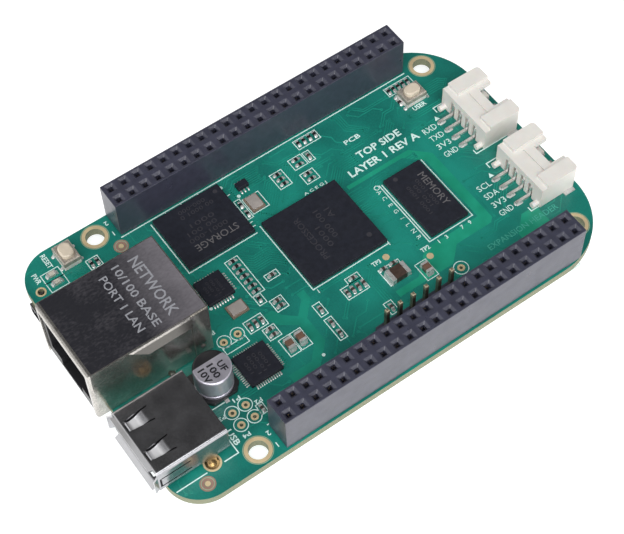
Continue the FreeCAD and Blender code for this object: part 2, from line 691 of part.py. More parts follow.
def usb_spring(y_centre, roof, sign):
    """A contact spring cut from the shell, narrower at its tip and bowed into the socket."""
    sheet = cell("usb_sheet")
    middle = roof - sign * sheet / 2
    bow = middle - sign * 0.6
    route = [(USB_SPRING_ROOT + 0.2, middle), (2.5, middle), (1.0, bow), (0.0, bow),
             (-0.7, bow + sign * 0.4)]
    root, tip = 1.2, 0.75
    strip = bent_wire(route, 0.9, 2 * root, sheet, y_centre)
    taper = [(USB_SPRING_ROOT + 1, -root), (USB_SPRING_ROOT, -root), (USB_SPRING_TIP, -tip),
             (USB_SPRING_TIP, tip), (USB_SPRING_ROOT, root), (USB_SPRING_ROOT + 1, root)]
    return strip.common(plan_slab(taper, y_centre, -1, 10))


def usb_shell():
    """Sheet steel shell: rounded tube, flared lips, spring fingers and two solder legs."""
    sheet, bend = cell("usb_sheet"), cell("usb_bend")
    low_y = "usb_y - usb_width / 2"
    height = "usb_top - usb_bottom"
    outer = box("usb_outer", ("usb_front", low_y, "usb_bottom"), ("usb_length", "usb_width", height))
    tube = soften("usb_outer_round", outer, bend, lambda e: e.XLength > 5)
    inner = box("usb_inner", ("usb_front - 1", low_y + " + usb_sheet", "usb_bottom + usb_sheet"),
                ("usb_length - usb_sheet + 1", "usb_width - 2 * usb_sheet", height + " - 2 * usb_sheet"))
    inner_round = soften("usb_inner_round", inner, bend - sheet, lambda e: e.XLength > 5)
    rear_gap = box("usb_rear_gap", ("usb_block_rear + 0.1", low_y + " + 1.2", "usb_bottom - 1"),
                   ("usb_front + usb_length - usb_sheet - usb_block_rear - 0.1", "usb_width - 2.4", "2"))

    windows = []
    springs = []
    centre, top, bottom = cell("usb_y"), cell("usb_top"), cell("usb_bottom")
    around = [(USB_SPRING_ROOT, -1.4), (USB_SPRING_TIP - 0.3, -0.95),
              (USB_SPRING_TIP - 0.3, 0.95), (USB_SPRING_ROOT, 1.4)]
    for n, offset in enumerate((-USB_SPRING_OFFSET, USB_SPRING_OFFSET)):
        y = centre + offset
        windows.append(feature(f"usb_window_{n}", plan_slab(around, y, bottom - 1, 8)))
        springs.append(feature(f"usb_top_spring_{n}", usb_spring(y, top, 1)))
        springs.append(feature(f"usb_low_spring_{n}", usb_spring(y, bottom, -1)))
    # Three slits free the spring tongue in each side wall.
    across = "usb_width + 2"
    slits = [box(f"usb_slit_{name}", ("usb_slit_front", low_y + " - 1", height_above),
                 ("usb_slit_length", across, "usb_slit"))
             for name, height_above in (("low", "usb_slit_low"), ("high", "usb_slit_high"))]
    slits.append(box("usb_slit_end", ("usb_slit_front - usb_slit", low_y + " - 1", "usb_slit_low"),
                     ("usb_slit + 0.05", across, "usb_slit_high + usb_slit - usb_slit_low")))
    walls = cut("usb_walls", tube, inner_round, rear_gap, *windows, *slits)

    # Flared lips on the four sides of the mouth, each a bent strip of the same sheet.
    flare, reach = cell("usb_flare"), cell("usb_lip_reach")
    front = cell("usb_front")
    lip_width = cell("usb_width") - 2.2
    top_lip = [(front, top), (front - reach, top + flare), (front - reach, top + flare - sheet),
               (front, top - sheet)]
    low_lip = [(front, bottom), (front - reach, bottom - flare),
               (front - reach, bottom - flare + sheet), (front, bottom + sheet)]
    lips = [feature("usb_lip_top", slab(top_lip, centre - lip_width / 2, lip_width)),
            feature("usb_lip_low", slab(low_lip, centre - lip_width / 2, lip_width))]
    for name, sign in (("near", -1), ("far", 1)):
        edge = centre + sign * cell("usb_width") / 2
        side_lip = [(front, 0), (front - reach, sign * flare * 0.7),
                    (front - reach, sign * (flare * 0.7 - sheet)), (front, -sign * sheet)]
        lip = plan_slab(side_lip, edge, bottom + 1, top - bottom - 2)
        lips.append(feature(f"usb_lip_{name}", lip))

    legs = []
    for name, y in (("near", low_y), ("far", "usb_y + usb_width / 2 - usb_sheet")):
        legs.append(box(f"usb_leg_{name}", ("usb_leg_x - usb_leg_width / 2", y, "-tail_end"),
                        ("usb_leg_width", "usb_sheet", "tail_end + usb_bottom + 1")))
    return node(fuse("usb_shell", walls, *springs, *lips, *legs), "usb_shell")


def usb_inside():
    sheet = cell("usb_contact_sheet")
    contact_z = cell("usb_tongue_low") - sheet / 2
    body = new_body("usb_tongue")
    block = sketch_on(body, "XY_Plane", "usb_block_plan", "usb_bottom + usb_sheet + 0.1")
    rectangle(block, ("usb_block_front", "usb_y - usb_width / 2 + usb_sheet + 0.25"),
              ("usb_block_rear - usb_block_front", "usb_width - 2 * usb_sheet - 0.5"))
    pad(body, block, "usb_top - usb_bottom - 2 * usb_sheet - 0.2", "usb_block")
    blade = sketch_on(body, "XY_Plane", "usb_tongue_plan", "usb_tongue_low")
    rectangle(blade, ("usb_tongue_front", "usb_y - usb_tongue_width / 2"),
              ("usb_block_front - usb_tongue_front + 0.5", "usb_tongue_width"))
    pad(body, blade, "usb_tongue_high - usb_tongue_low", "usb_tongue_blade")
    slots = sketch_on(body, "YZ_Plane", "usb_slot_plan", "usb_block_rear + 1")
    for offset in USB_PIN_OFFSETS:
        rectangle(slots, (f"usb_y + {offset} - usb_contact_width / 2 - 0.02",
                          "usb_tongue_low - usb_contact_sheet - 0.02"),
                  ("usb_contact_width + 0.04", "usb_contact_sheet + 0.02"))
    pocket(body, slots, "usb_block_rear - usb_block_front + 2", "usb_contact_slots")
    node(body, "usb_tongue")

    strips = []
    for offset in USB_PIN_OFFSETS:
        route = [(0.4, contact_z), (cell("usb_tail_x"), contact_z),
                 (cell("usb_tail_x"), -cell("tail_end"))]
        strips.append(bent_wire(route, 0.3, cell("usb_contact_width"), sheet, cell("usb_y") + offset))
    node(feature("usb_contacts", Part.makeCompound(strips)), "usb_contacts")


# ---------------------------------------------------------------- sockets under the board

def micro_usb():
    """Small socket on the underside at the port end; its shell is the lowest point."""
    under = cell("board_thickness") + 0.05
    low = "-board_thickness - 0.05 - micro_depth"
    outer = box("micro_outer", ("micro_front", "micro_y - micro_width / 2", low),
                ("micro_length", "micro_width", "micro_depth"))
    bottom = -under - cell("micro_depth")
    rounded = soften("micro_outer_round", outer, 0.7,
                     lambda e: e.XLength > 3 and near(e.ZMax, bottom))
    inner = box("micro_inner", ("micro_front - 1", "micro_y - micro_width / 2 + micro_sheet",
                                low + " + micro_sheet"),
                ("micro_length - micro_sheet + 1", "micro_width - 2 * micro_sheet",
                 "micro_depth - 2 * micro_sheet"))
    inner_low = bottom + cell("micro_sheet")
    inner_round = soften("micro_inner_round", inner, 0.45,
                         lambda e: e.XLength > 3 and near(e.ZMax, inner_low))
    legs = [centred_box(f"micro_leg_{name}", ("micro_leg_x", f"micro_y {sign} micro_leg_offset"),
                        "-board_thickness - 0.3", ("micro_leg", "micro_sheet", "board_thickness"))
            for name, sign in (("near", "-"), ("far", "+"))]
    tube = cut("micro_tube", rounded, inner_round)
    node(fuse("micro_usb_shell", tube, *legs), "micro_usb_shell")

    block = box("micro_block", ("micro_front + micro_block_start",
                                "micro_y - micro_width / 2 + 0.8", low + " + micro_sheet + 0.05"),
                ("micro_block_length", "micro_width - 1.6", "micro_depth - 2 * micro_sheet - 0.1"))
    blade = box("micro_blade", ("micro_front + micro_tongue_start",
                                "micro_y - micro_tongue_width / 2", low + " + micro_tongue_low"),
                ("micro_tongue_length", "micro_tongue_width", "micro_tongue_height"))
    node(fuse("micro_usb_tongue", block, blade), "micro_usb_tongue")

    # Five contacts: a strip on the tongue and a solder foot behind the shell.
    strip_x, strip_width, strip_sheet, foot_sheet = cell("micro_front") + 0.8, 0.25, 0.1, 0.15
    strip_z = bottom + cell("micro_tongue_low") - strip_sheet
    foot_x = cell("micro_front") + cell("micro_length") + 0.02
    foot_z = -cell("board_thickness") - foot_sheet
    pads = []
    for n in range(-2, 3):
        y = cell("micro_y") + n * cell("micro_pitch") - strip_width / 2
        pads.append(Part.makeBox(2.4, strip_width, strip_sheet, Vector(strip_x, y, strip_z)))
        pads.append(Part.makeBox(1.0, strip_width, foot_sheet, Vector(foot_x, y, foot_z)))
    node(feature("micro_usb_contacts", Part.makeCompound(pads)), "micro_usb_contacts")


def memory_card_socket():
    """Push-push card socket: tray, steel cover, spring contacts, sliding cam and its spring."""
    under = "-board_thickness - 0.05"
    half = "card_width / 2"
    length = "card_front - card_rear"
    floor = box("card_tray_floor", ("card_rear", f"-{half} + card_sheet + 0.05", under + " - card_floor"),
                (length, "card_width - 2 * card_sheet - 0.1", "card_floor"))
    inner_height = "card_depth - card_sheet - card_floor - 0.05"
    inner_low = under + " - card_depth + card_sheet + 0.05"
    rear_wall = box("card_tray_rear", ("card_rear", f"-{half} + card_sheet + 0.05", inner_low),
                    ("card_rear_wall", "card_slider_width + 0.5", inner_height))
    rail = box("card_tray_rail", ("card_rear", f"-{half} + card_sheet + 0.15 + card_slider_width",
                                  inner_low), (length, "card_rail", inner_height))
    far_wall = box("card_tray_far", ("card_rear", f"{half} - card_sheet - card_far_wall - 0.05",
                                     inner_low), (length, "card_far_wall", inner_height))
    node(fuse("microsd_base", floor, rear_wall, rail, far_wall), "microsd_base")

    outer = box("card_cover_outer", ("card_rear + 0.3", f"-{half}", under + " - card_depth"),
                (length + " - 0.6", "card_width", "card_depth"))
    inner = box("card_cover_inner", ("card_rear", f"-{half} + card_sheet",
                                     under + " - card_depth + card_sheet"),
                (length, "card_width - 2 * card_sheet", "card_depth"))
    notch = centred_box("card_cover_notch", ("card_front - 0.3", "-0.5"), under + " - card_depth - 1",
                        ("4.4", "6", "1.5"))
    node(cut("microsd_shell", outer, inner, notch), "microsd_shell")

    # Each contact runs from its solder foot under the tray, then dips to meet the card.
    low = -cell("board_thickness") - 0.05 - cell("card_floor")
    rear, foot = cell("card_rear"), -cell("board_thickness") - 0.06
    route = [(rear - 1.2, foot), (rear - 0.35, foot), (rear - 0.35, low - 0.1),
             (rear + 5.0, low - 0.1), (rear + 7.2, low - 0.6)]
    springs = [bent_wire(route, 0.12, 0.5, 0.1, (n - 3) * cell("card_contact_pitch"))
               for n in range(8)]
    node(feature("microsd_contacts", Part.makeCompound(springs)), "microsd_contacts")

    slider_low = under + " - card_depth + card_sheet + 0.1"
    slider_y = f"-{half} + card_sheet + 0.1"
    blank = box("card_slider_blank", ("card_slider_rear", slider_y, slider_low),
                ("card_slider_front - card_slider_rear", "card_slider_width",
                 inner_height + " - 0.1"))
    heart = box("card_slider_heart", ("card_slider_rear + 1.1", slider_y + " + 0.35",
                                      slider_low + " - 0.01"),
                ("1.6", "0.6", "0.4"))
    node(cut("microsd_slider", blank, heart), "microsd_slider")

    wire, radius = cell("card_spring_wire") / 2, cell("card_spring_radius")
    start = rear + cell("card_rear_wall") + 0.05 + wire
    end = cell("card_slider_rear") - 0.05 - wire
    turns = 7
    helix = Part.makeHelix((end - start) / turns, end - start, radius)
    section = Part.Wire(Part.makeCircle(wire, Vector(radius, 0, 0), Vector(0, 1, 0)))
    coil = Part.Wire(helix).makePipeShell([section], True, True)
    middle_z = low - (cell("card_depth") - cell("card_sheet") - cell("card_floor")) / 2
    middle_y = -cell("card_width") / 2 + cell("card_sheet") + 0.1 + cell("card_slider_width") / 2
    coil.Placement = Placement(Vector(start, middle_y, middle_z), Rotation(Vector(0, 1, 0), 90))
    node(feature("microsd_spring", Part.makeCompound([coil])), "microsd_spring")


# ---------------------------------------------------------------- push buttons

def push_button(name, x, y, size):
    """Tray, snap dome, sliding plunger and steel cover; size orders length and width."""
    along_x, along_y = size
    plunger_x, plunger_y = (part.replace("button", "plunger") for part in size)
    wall = "2 * button_sheet"
    centre = (x, y)
    tray = centred_box(f"{name}_tray", centre, "0", (along_x, along_y, "button_tray"))
    well = centred_box(f"{name}_well", centre, "button_floor",
                       (f"{along_x} - 0.8", f"{along_y} - 0.8", "button_tray"))
    node(cut(f"{name}_base", tray, well), f"{name}_button_base")

    cover = centred_box(f"{name}_cover_outer", centre, "button_tray",
                        (along_x, along_y, "button_height - button_tray"))
    room = centred_box(f"{name}_cover_room", centre, "0",
                       (f"{along_x} - {wall}", f"{along_y} - {wall}", "button_height - button_sheet"))
    corner = cell("plunger_corner")
    opening = centred_box(f"{name}_cover_opening", centre, "0",
                          (f"{plunger_x} + 2 * plunger_gap", f"{plunger_y} + 2 * plunger_gap",
                           "button_height + 1"))
    window = soften(f"{name}_cover_window", opening, corner, lambda e: e.ZLength > 1)
    top = cell("button_height")
    shaped = soften(f"{name}_cover_round", cover, 0.25, lambda e: near(e.ZMin, top))
    node(cut(f"{name}_cover", shaped, room, window), f"{name}_button_cover")

    stem = centred_box(f"{name}_stem", centre, "plunger_low",
                       (plunger_x, plunger_y, "plunger_top - plunger_low"))
    plunger_top = cell("plunger_top")
    oval = soften(f"{name}_stem_oval", stem, corner, lambda e: e.ZLength > 1)
    crowned = soften(f"{name}_stem_round", oval, 0.35, lambda e: near(e.ZMin, plunger_top))
    flange = centred_box(f"{name}_flange", centre, "plunger_low",
                         (f"{plunger_x} + 2 * plunger_flange", f"{plunger_y} + 2 * plunger_flange",
                          "button_height - button_sheet - plunger_low - 0.03"))
    node(fuse(f"{name}_plunger", crowned, flange), f"{name}_button_plunger")

    rise = cell("plunger_low") - cell("button_floor") - 0.02
    spread = 0.95
    sphere_radius = (spread ** 2 + rise ** 2) / (2 * rise)
    centre_z = cell("plunger_low") - 0.01 - sphere_radius
    at = Vector(float(dims.get(x)), float(dims.get(y)), centre_z)
    cap = Part.makeSphere(sphere_radius, at).cut(Part.makeSphere(sphere_radius - 0.1, at))
    keep = Part.makeCylinder(spread, rise, Vector(at.x, at.y, cell("button_floor") + 0.01))
    node(feature(f"{name}_dome", cap.common(keep)), f"{name}_button_dome")


# ---------------------------------------------------------------- sensor sockets

def sensor_socket(name, y):
    """Right-angle four-pin socket: open cavity facing the far end, ribs and pegs behind."""
    body = new_body(f"{name}_socket_housing")
    length = "sensor_front - sensor_rear"
    plan = sketch_on(body, "XY_Plane", f"{name}_socket_plan", "0.05")
    rectangle(plan, ("sensor_rear", f"{y} - sensor_width / 2"), (length, "sensor_width"))
    pad(body, plan, "sensor_top - 0.05", f"{name}_socket_block")
    rails = sketch_on(body, "XY_Plane", f"{name}_rail_plan", "sensor_top - 0.5")
    for low in (f"{y} - sensor_width / 2", f"{y} + sensor_width / 2 - sensor_rail_width"):
        rectangle(rails, ("sensor_rail_rear", low),
                  ("sensor_front - sensor_rail_rear", "sensor_rail_width"))
    pad(body, rails, "sensor_rail_top - sensor_top + 0.5", f"{name}_socket_rails")

    notch = sketch_on(body, "XY_Plane", f"{name}_notch_plan", "sensor_rail_top")
    rectangle(notch, ("sensor_notch_rear", f"{y} - sensor_notch_width / 2"),
              ("sensor_front - sensor_notch_rear + 1", "sensor_notch_width"))
    pocket(body, notch, "sensor_rail_top", f"{name}_socket_notch")
    line = sketch_on(body, "XY_Plane", f"{name}_line_plan", "sensor_top")
    rectangle(line, ("sensor_rear + 2.75", f"{y} - 2.6"), ("0.3", "5.2"))
    pocket(body, line, "0.25", f"{name}_socket_line")

    cavity = sketch_on(body, "YZ_Plane", f"{name}_cavity_plan", "sensor_front")
    rectangle(cavity, (f"{y} - sensor_width / 2 + sensor_wall", "sensor_floor"),
              ("sensor_width - 2 * sensor_wall", "sensor_top - sensor_floor - sensor_wall"))
    pocket(body, cavity, "sensor_front - sensor_cavity_rear", f"{name}_socket_cavity")

    slots = sketch_on(body, "YZ_Plane", f"{name}_slot_plan", "sensor_rear + sensor_slot_depth")
    holes = sketch_on(body, "YZ_Plane", f"{name}_pin_hole_plan", "sensor_cavity_rear + 0.1")
    for n in range(4):
        pin_y = f"{y} + {n - 1.5} * sensor_pitch"
        rectangle(slots, (f"{pin_y} - sensor_slot_width / 2", "0"),
                  ("sensor_slot_width", "sensor_slot_top"))
        rectangle(holes, (f"{pin_y} - sensor_wire / 2 - 0.01", "sensor_pin_z - sensor_wire / 2 - 0.01"),
                  ("sensor_wire + 0.02", "sensor_wire + 0.02"))
    pocket(body, slots, "sensor_slot_depth + 1", f"{name}_socket_slots")
    pocket(body, holes, "sensor_cavity_rear - sensor_rear", f"{name}_socket_pin_holes")

    pegs = sketch_on(body, "YZ_Plane", f"{name}_peg_plan", "sensor_rear - sensor_peg_length")
    for sign in ("-", "+"):
        circle(pegs, (f"{y} {sign} (sensor_width / 2 - sensor_peg_radius - 0.25)",
                      "sensor_peg_radius + 0.06"), "sensor_peg_radius")
    pad(body, pegs, "sensor_peg_length + 0.5", f"{name}_socket_pegs")

    front, rail_top = cell("sensor_front"), cell("sensor_rail_top")
    half = cell("sensor_width") / 2
    centre = cell(y)

    def is_outer_nose(extent):
        at_front = near(extent.XMin, front) and near(extent.XMax, front)
        outside = near(abs((extent.YMin + extent.YMax) / 2 - centre), half)
        return at_front and outside and extent.ZLength > 2

    dress(body, "PartDesign::Fillet", "0.7", is_outer_nose, f"{name}_socket_noses")
    node(body, f"{name}_socket_housing")

    wire = cell("sensor_wire")
    foot_z = 0.06 + wire / 2
    rise_x = cell("sensor_rear") + 0.45
    contacts = []
    for n in range(4):
        route = [(cell("sensor_foot_x"), foot_z), (rise_x - 0.25, foot_z),
                 (rise_x, cell("sensor_pin_z")), (cell("sensor_wire_tip"), cell("sensor_pin_z"))]
        contacts.append(bent_wire(route, 0.42, wire, wire, centre + (n - 1.5) * cell("sensor_pitch")))
    node(feature(f"{name}_contacts", Part.makeCompound(contacts)), f"{name}_socket_contacts")

    # A flat solder tab stands out on each side, near the open end.
    tab_x, tab_length, tab_reach, tab_sheet = front - 2.6, 2.1, 0.7, 0.25
    tabs = []
    for sign in (-1, 1):
        y_face = centre + sign * (half + 0.02)
        low = min(y_face, y_face + sign * tab_reach)
        tabs.append(Part.makeBox(tab_length, tab_reach, tab_sheet, Vector(tab_x, low, 0)))
    node(feature(f"{name}_tabs", Part.makeCompound(tabs)), f"{name}_socket_tabs")


# ---------------------------------------------------------------- chips

def moulded_package(name, centre, size, low, high):
    """A flat package: padded block, chamfered top and a shallow pin-one dimple."""
    body = new_body(name)
    plan = sketch_on(body, "XY_Plane", name + "_plan", low)
    centred_rectangle(plan, centre, size)
    pad(body, plan, f"{high} - {low}", name + "_block")
    doc.recompute()
    top = max(vertex.Z for vertex in body.Shape.Vertexes)
    dress(body, "PartDesign::Chamfer", "mould_chamfer", lambda e: near(e.ZMin, top), name + "_edge")
    return body


def ball_grid(centre, columns, rows, pitch, keep=lambda column, row: True):
    x0 = centre[0] - (columns - 1) * pitch / 2
    y0 = centre[1] - (rows - 1) * pitch / 2
    return [(x0 + c * pitch, y0 + r * pitch, 0)
            for c in range(columns) for r in range(rows) if keep(c, r)]


def ball_grid_chips():
    for name, size in (("processor", ("processor_side", "processor_side")),
                       ("memory", ("memory_length", "memory_width")),
                       ("flash", ("flash_length", "flash_width"))):
        package = moulded_package(f"{name}_package", (f"{name}_x", f"{name}_y"), size,
                                  "ball_height", "package_top")
        node(package, f"{name}_chip")
    ball = Part.makeCylinder(0.2, cell("ball_height"))
    small_ball = Part.makeCylinder(0.14, cell("ball_height"))
    processor = ball_grid((cell("processor_x"), cell("processor_y")), 18, 18, 0.8)
    memory = ball_grid((cell("memory_x"), cell("memory_y")), 9, 16, 0.8,
                       lambda column, row: column not in (3, 4, 5))
    # The storage chip's balls form a frame three balls deep.
    side = 14
    flash = ball_grid((cell("flash_x"), cell("flash_y")), side, side, 0.5,
                      lambda column, row: min(column, row, side - 1 - column, side - 1 - row) < 3)
    groups = [copies(ball, processor), copies(ball, memory), copies(small_ball, flash)]
    solids = [solid for group in groups for solid in group.Solids]
    node(feature("solder_balls", Part.makeCompound(solids)), "solder_balls")


def edge_leads(centre, side, count, pitch, width, height):
    """Solder lands on the four edges of a leadless chip, and its central pad."""
    length_in, length_out = 0.3, 0.4
    leads = []
    for n in range(count):
        slide = (n - (count - 1) / 2) * pitch
        block = Part.makeBox(length_in + length_out, width, height,
                             Vector(side / 2 - length_in, slide - width / 2, 0))
        for turn in range(4):
            lead = block.copy()
            lead.rotate(Vector(0, 0, 0), Vector(0, 0, 1), 90 * turn)
            leads.append(lead.translated(Vector(*centre, 0)))
    inner = side * 0.6
    leads.append(Part.makeBox(inner, inner, height,
                              Vector(centre[0] - inner / 2, centre[1] - inner / 2, 0)))
    return leads


def leadless_chips():
    leads = []
    for name, count, pitch in (("network", 8, 0.5), ("power", 12, 0.4)):
        side = f"{name}_side"
        package = moulded_package(f"{name}_package", (f"{name}_x", f"{name}_y"), (side, side),
                                  "lead_height", "flat_chip_top")
        node(package, f"{name}_chip")
        leads += edge_leads((cell(f"{name}_x"), cell(f"{name}_y")), cell(side), count, pitch,
                            pitch * 0.5, cell("lead_height"))
    logic = moulded_package("logic_package", ("logic_x", "logic_y"), ("logic_length", "logic_width"),
                            "lead_height + 0.06", "1.0")
    node(logic, "logic_chip")
    for sign in (-1, 1):
        for n in (-1, 0, 1):
            x = cell("logic_x") + n * 0.65
            reach = cell("logic_width") / 2
            low = cell("logic_y") + (reach - 0.15 if sign > 0 else -reach - 0.45)
            leads.append(Part.makeBox(0.25, 0.6, cell("lead_height"), Vector(x - 0.125, low, 0)))
    node(feature("chip_leads", Part.makeCompound(leads)), "chip_leads")


# ---------------------------------------------------------------- small parts

# Small two-terminal parts: kind, x, y and the axis along which each one lies.
CERAMICS = [
    (29.0, -12.0, "y", "large"), (31.1, -12.0, "y", "large"), (55.35, -13.5, "y", "large"),
    (42.15, -9.5, "y", "small"), (43.25, -9.5, "y", "small"), (44.35, -9.5, "y", "small"),
    (45.45, -9.5, "y", "small"), (44.55, -7.75, "x", "small"),
    (36.8, -9.45, "y", "small"), (36.8, -12.5, "y", "small"), (36.8, -14.8, "y", "small"),
    (28.1, -8.9, "x", "small"), (28.1, -7.7, "x", "small"),
    (25.8, -5.4, "y", "small"), (26.9, -5.4, "y", "small"), (28.0, -5.4, "y", "small"),
    (32.1, -5.1, "x", "small"), (32.1, -4.0, "x", "small"), (34.2, 0.55, "x", "small"),
    (46.35, -15.8, "y", "small"), (19.1, -18.6, "y", "small"),
    (52.9, 16.65, "y", "small"), (49.6, -9.3, "x", "small"), (51.6, -9.3, "x", "small"),
]
RESISTORS = [
    (11.4, 19.85, "y"), (12.45, 19.85, "y"), (37.8, 13.0, "y"), (37.8, 15.1, "y"),
    (46.3, 14.35, "x"), (46.3, 15.45, "x"), (46.3, 16.55, "x"),
    (50.7, 16.1, "x"), (50.7, 17.3, "x"), (50.7, 12.5, "x"), (50.7, 13.7, "x"),
    (53.0, 19.9, "y"), (54.15, 19.9, "y"), (55.3, 19.9, "y"), (56.45, 19.9, "y"),
    (72.4, 19.75, "y"), (73.4, 19.75, "y"), (74.4, 19.75, "y"), (75.4, 19.75, "y"),
    (76.4, 19.75, "y"), (72.5, 16.7, "y"), (29.95, -1.9, "y"),
] + [(30.45, -0.4 + 1.15 * row, "x") for row in range(7)]
STATUS_LIGHTS = [(5.0, 21.9, "x"), (5.0, 20.1, "x")]
# Length, width and height of the whole part, and the length of each metal end.
SIZES = {"small": (1.05, 0.55, 0.5, 0.27), "large": (2.0, 1.25, 1.2, 0.45),
         "resistor": (1.05, 0.55, 0.35, 0.25), "light": (1.6, 0.8, 0.6, 0.35),
         "inductor": (3.6, 2.4, 1.3, 0.7)}


def chip_part(x, y, axis, size):
    """The body and the two ends of one small part, standing on the board."""
    length, width, height, end = SIZES[size]
    body = Part.makeBox(length - 2 * end, width, height, Vector(-length / 2 + end, -width / 2, 0))
    ends = [Part.makeBox(end, width, height, Vector(low, -width / 2, 0))
            for low in (-length / 2, length / 2 - end)]
    for shape in [body] + ends:
        shape.rotate(Vector(0, 0, 0), Vector(0, 0, 1), 90 if axis == "y" else 0)
        shape.translate(Vector(x, y, 0))
    return body, ends


def small_parts():
    groups = {"ceramic_capacitors": CERAMICS,
              "chip_resistors": [(*spot, "resistor") for spot in RESISTORS],
              "status_lights": [(*spot, "light") for spot in STATUS_LIGHTS],
              "power_inductor": [(50.9, -11.5, "x", "inductor")]}
    terminals = []
    for name, spots in groups.items():
        bodies = []
        for x, y, axis, size in spots:
            body, ends = chip_part(x, y, axis, size)
            bodies.append(body)
            terminals += ends
        node(feature(name, Part.makeCompound(bodies)), name)
    node(feature("chip_terminals", Part.makeCompound(terminals)), "chip_terminals")


def crystals():
    """Two crystals: a ceramic tray with a metal lid on it."""
    base_height, lid_height, rim = 0.45, 0.3, 0.25
    bases, lids = [], []
    for x, y, length, width in [(25.95, -1.5, 3.2, 2.5), (39.9, 14.0, 2.5, 3.2)]:
        corner = Vector(x - length / 2, y - width / 2, 0)
        bases.append(Part.makeBox(length, width, base_height, corner))
        lids.append(Part.makeBox(length - 2 * rim, width - 2 * rim, lid_height,
                                 corner + Vector(rim, rim, base_height)))
    node(feature("crystal_bases", Part.makeCompound(bases)), "crystal_bases")
    node(feature("crystal_lids", Part.makeCompound(lids)), "crystal_lids")


def capacitor_can():
    """Aluminium can with a crimped groove, on a cut-cornered base with two leads."""
    radius, top, rounding = cell("can_radius"), cell("can_top"), cell("can_round")
    start, groove_z, groove = cell("can_base_height"), cell("can_groove_z"), cell("can_groove")
    centre = Vector(cell("can_x"), cell("can_y"), 0)

    def at(reach, height):
        return centre + Vector(reach, 0, height)

    turn = rounding * (1 - math.sqrt(0.5))
    profile = [
        Part.LineSegment(at(0, start), at(radius, start)),
        Part.LineSegment(at(radius, start), at(radius, groove_z - groove)),
        Part.Arc(at(radius, groove_z - groove), at(radius - groove, groove_z),
                 at(radius, groove_z + groove)),
        Part.LineSegment(at(radius, groove_z + groove), at(radius, top - rounding)),
        Part.Arc(at(radius, top - rounding), at(radius - turn, top - turn),
                 at(radius - rounding, top)),
        Part.LineSegment(at(radius - rounding, top), at(0, top)),
        Part.LineSegment(at(0, top), at(0, start)),
    ]
    outline = Part.Wire([edge.toShape() for edge in profile])
    can = Part.Face(outline).revolve(centre, Vector(0, 0, 1), 360)
    node(feature("capacitor_can", can), "capacitor_can")

    body = new_body("capacitor_base")
    plan = sketch_on(body, "XY_Plane", "capacitor_base_plan", "0.15")
    centred_rectangle(plan, ("can_x", "can_y"), ("can_base_side", "can_base_side"))
    pad(body, plan, "can_base_height - 0.15", "capacitor_base_block")
    low_y = cell("can_y") - cell("can_base_side") / 2
    dress(body, "PartDesign::Chamfer", "can_base_cut",
          lambda e: e.ZLength > 0.5 and near(e.YMin, low_y), "capacitor_base_corners")
    node(body, "capacitor_base")
    reach = cell("can_base_side") / 2
    leads = [Part.makeBox(0.7, 1.9, 0.14, Vector(cell("can_x") - 0.35, cell("can_y") + low, 0))
             for low in (-reach - 0.6, reach - 1.3)]
    node(feature("capacitor_leads", Part.makeCompound(leads)), "capacitor_leads")


# ---------------------------------------------------------------- assembly and output

circuit_board()
plated_pads()
headers()
debug_header()
ethernet_shield()
ethernet_housing()
ethernet_inside()
usb_shell()
usb_inside()
micro_usb()
memory_card_socket()
push_button("reset", "reset_x", "reset_y", ("button_width", "button_length"))
push_button("user", "user_x", "user_y", ("button_length", "button_width"))
sensor_socket("uart", "uart_y")
sensor_socket("i2c", "i2c_y")
ball_grid_chips()
leadless_chips()
crystals()
capacitor_can()
small_parts()
doc.recompute()

faults = [item.Name for item in doc.Objects if "Invalid" in item.State or "Error" in item.State]
faults += [item.Label for item in NODES if item.Shape.isNull() or not item.Shape.isValid()]
if faults:
    raise RuntimeError("failed objects: " + ", ".join(faults))

os.makedirs("parts", exist_ok=True)
for item in NODES:
    item.Shape.exportStep(f"parts/{item.Label}.step")
print(len(NODES), "nodes,", sum(len(item.Shape.Solids) for item in NODES), "solids")
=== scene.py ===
"""Looks of a single board computer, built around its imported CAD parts.

Lengths are in millimetres in the board's own frame: x from the connector end, y from the
centre line, z from the board's top face.  place() turns them into metres in the row frame.
"""
import json
import math
import random

import bmesh
import bpy
import numpy as np
from mathutils import Matrix, Vector


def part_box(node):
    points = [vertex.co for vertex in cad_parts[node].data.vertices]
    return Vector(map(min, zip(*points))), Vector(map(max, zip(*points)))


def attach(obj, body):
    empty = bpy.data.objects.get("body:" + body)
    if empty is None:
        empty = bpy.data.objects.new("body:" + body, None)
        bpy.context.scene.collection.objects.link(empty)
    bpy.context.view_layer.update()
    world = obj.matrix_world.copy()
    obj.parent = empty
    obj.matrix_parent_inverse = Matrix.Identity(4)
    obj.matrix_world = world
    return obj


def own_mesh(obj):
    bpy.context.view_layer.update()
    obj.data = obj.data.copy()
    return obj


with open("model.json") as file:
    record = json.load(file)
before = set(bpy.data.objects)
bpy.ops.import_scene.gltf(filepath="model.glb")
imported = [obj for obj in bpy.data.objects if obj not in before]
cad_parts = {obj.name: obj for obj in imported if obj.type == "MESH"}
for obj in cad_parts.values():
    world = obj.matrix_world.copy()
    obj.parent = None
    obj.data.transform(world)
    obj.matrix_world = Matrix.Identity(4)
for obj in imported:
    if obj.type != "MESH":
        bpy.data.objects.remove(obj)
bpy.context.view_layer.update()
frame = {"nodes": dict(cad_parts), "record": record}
NODES = frame["nodes"]
MM = 0.001

BOARD_LOW, BOARD_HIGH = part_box("circuit_board")
ORIGIN = Vector((BOARD_LOW.x, (BOARD_LOW.y + BOARD_HIGH.y) / 2, BOARD_HIGH.z))
LENGTH, WIDTH, THICKNESS = (BOARD_HIGH - BOARD_LOW) / MM
SIDE = WIDTH / 2
# The printed matter is placed from the near edge of a board this far from its centre line.
EDGE_TO_CENTRE = 27.305


# ---- places

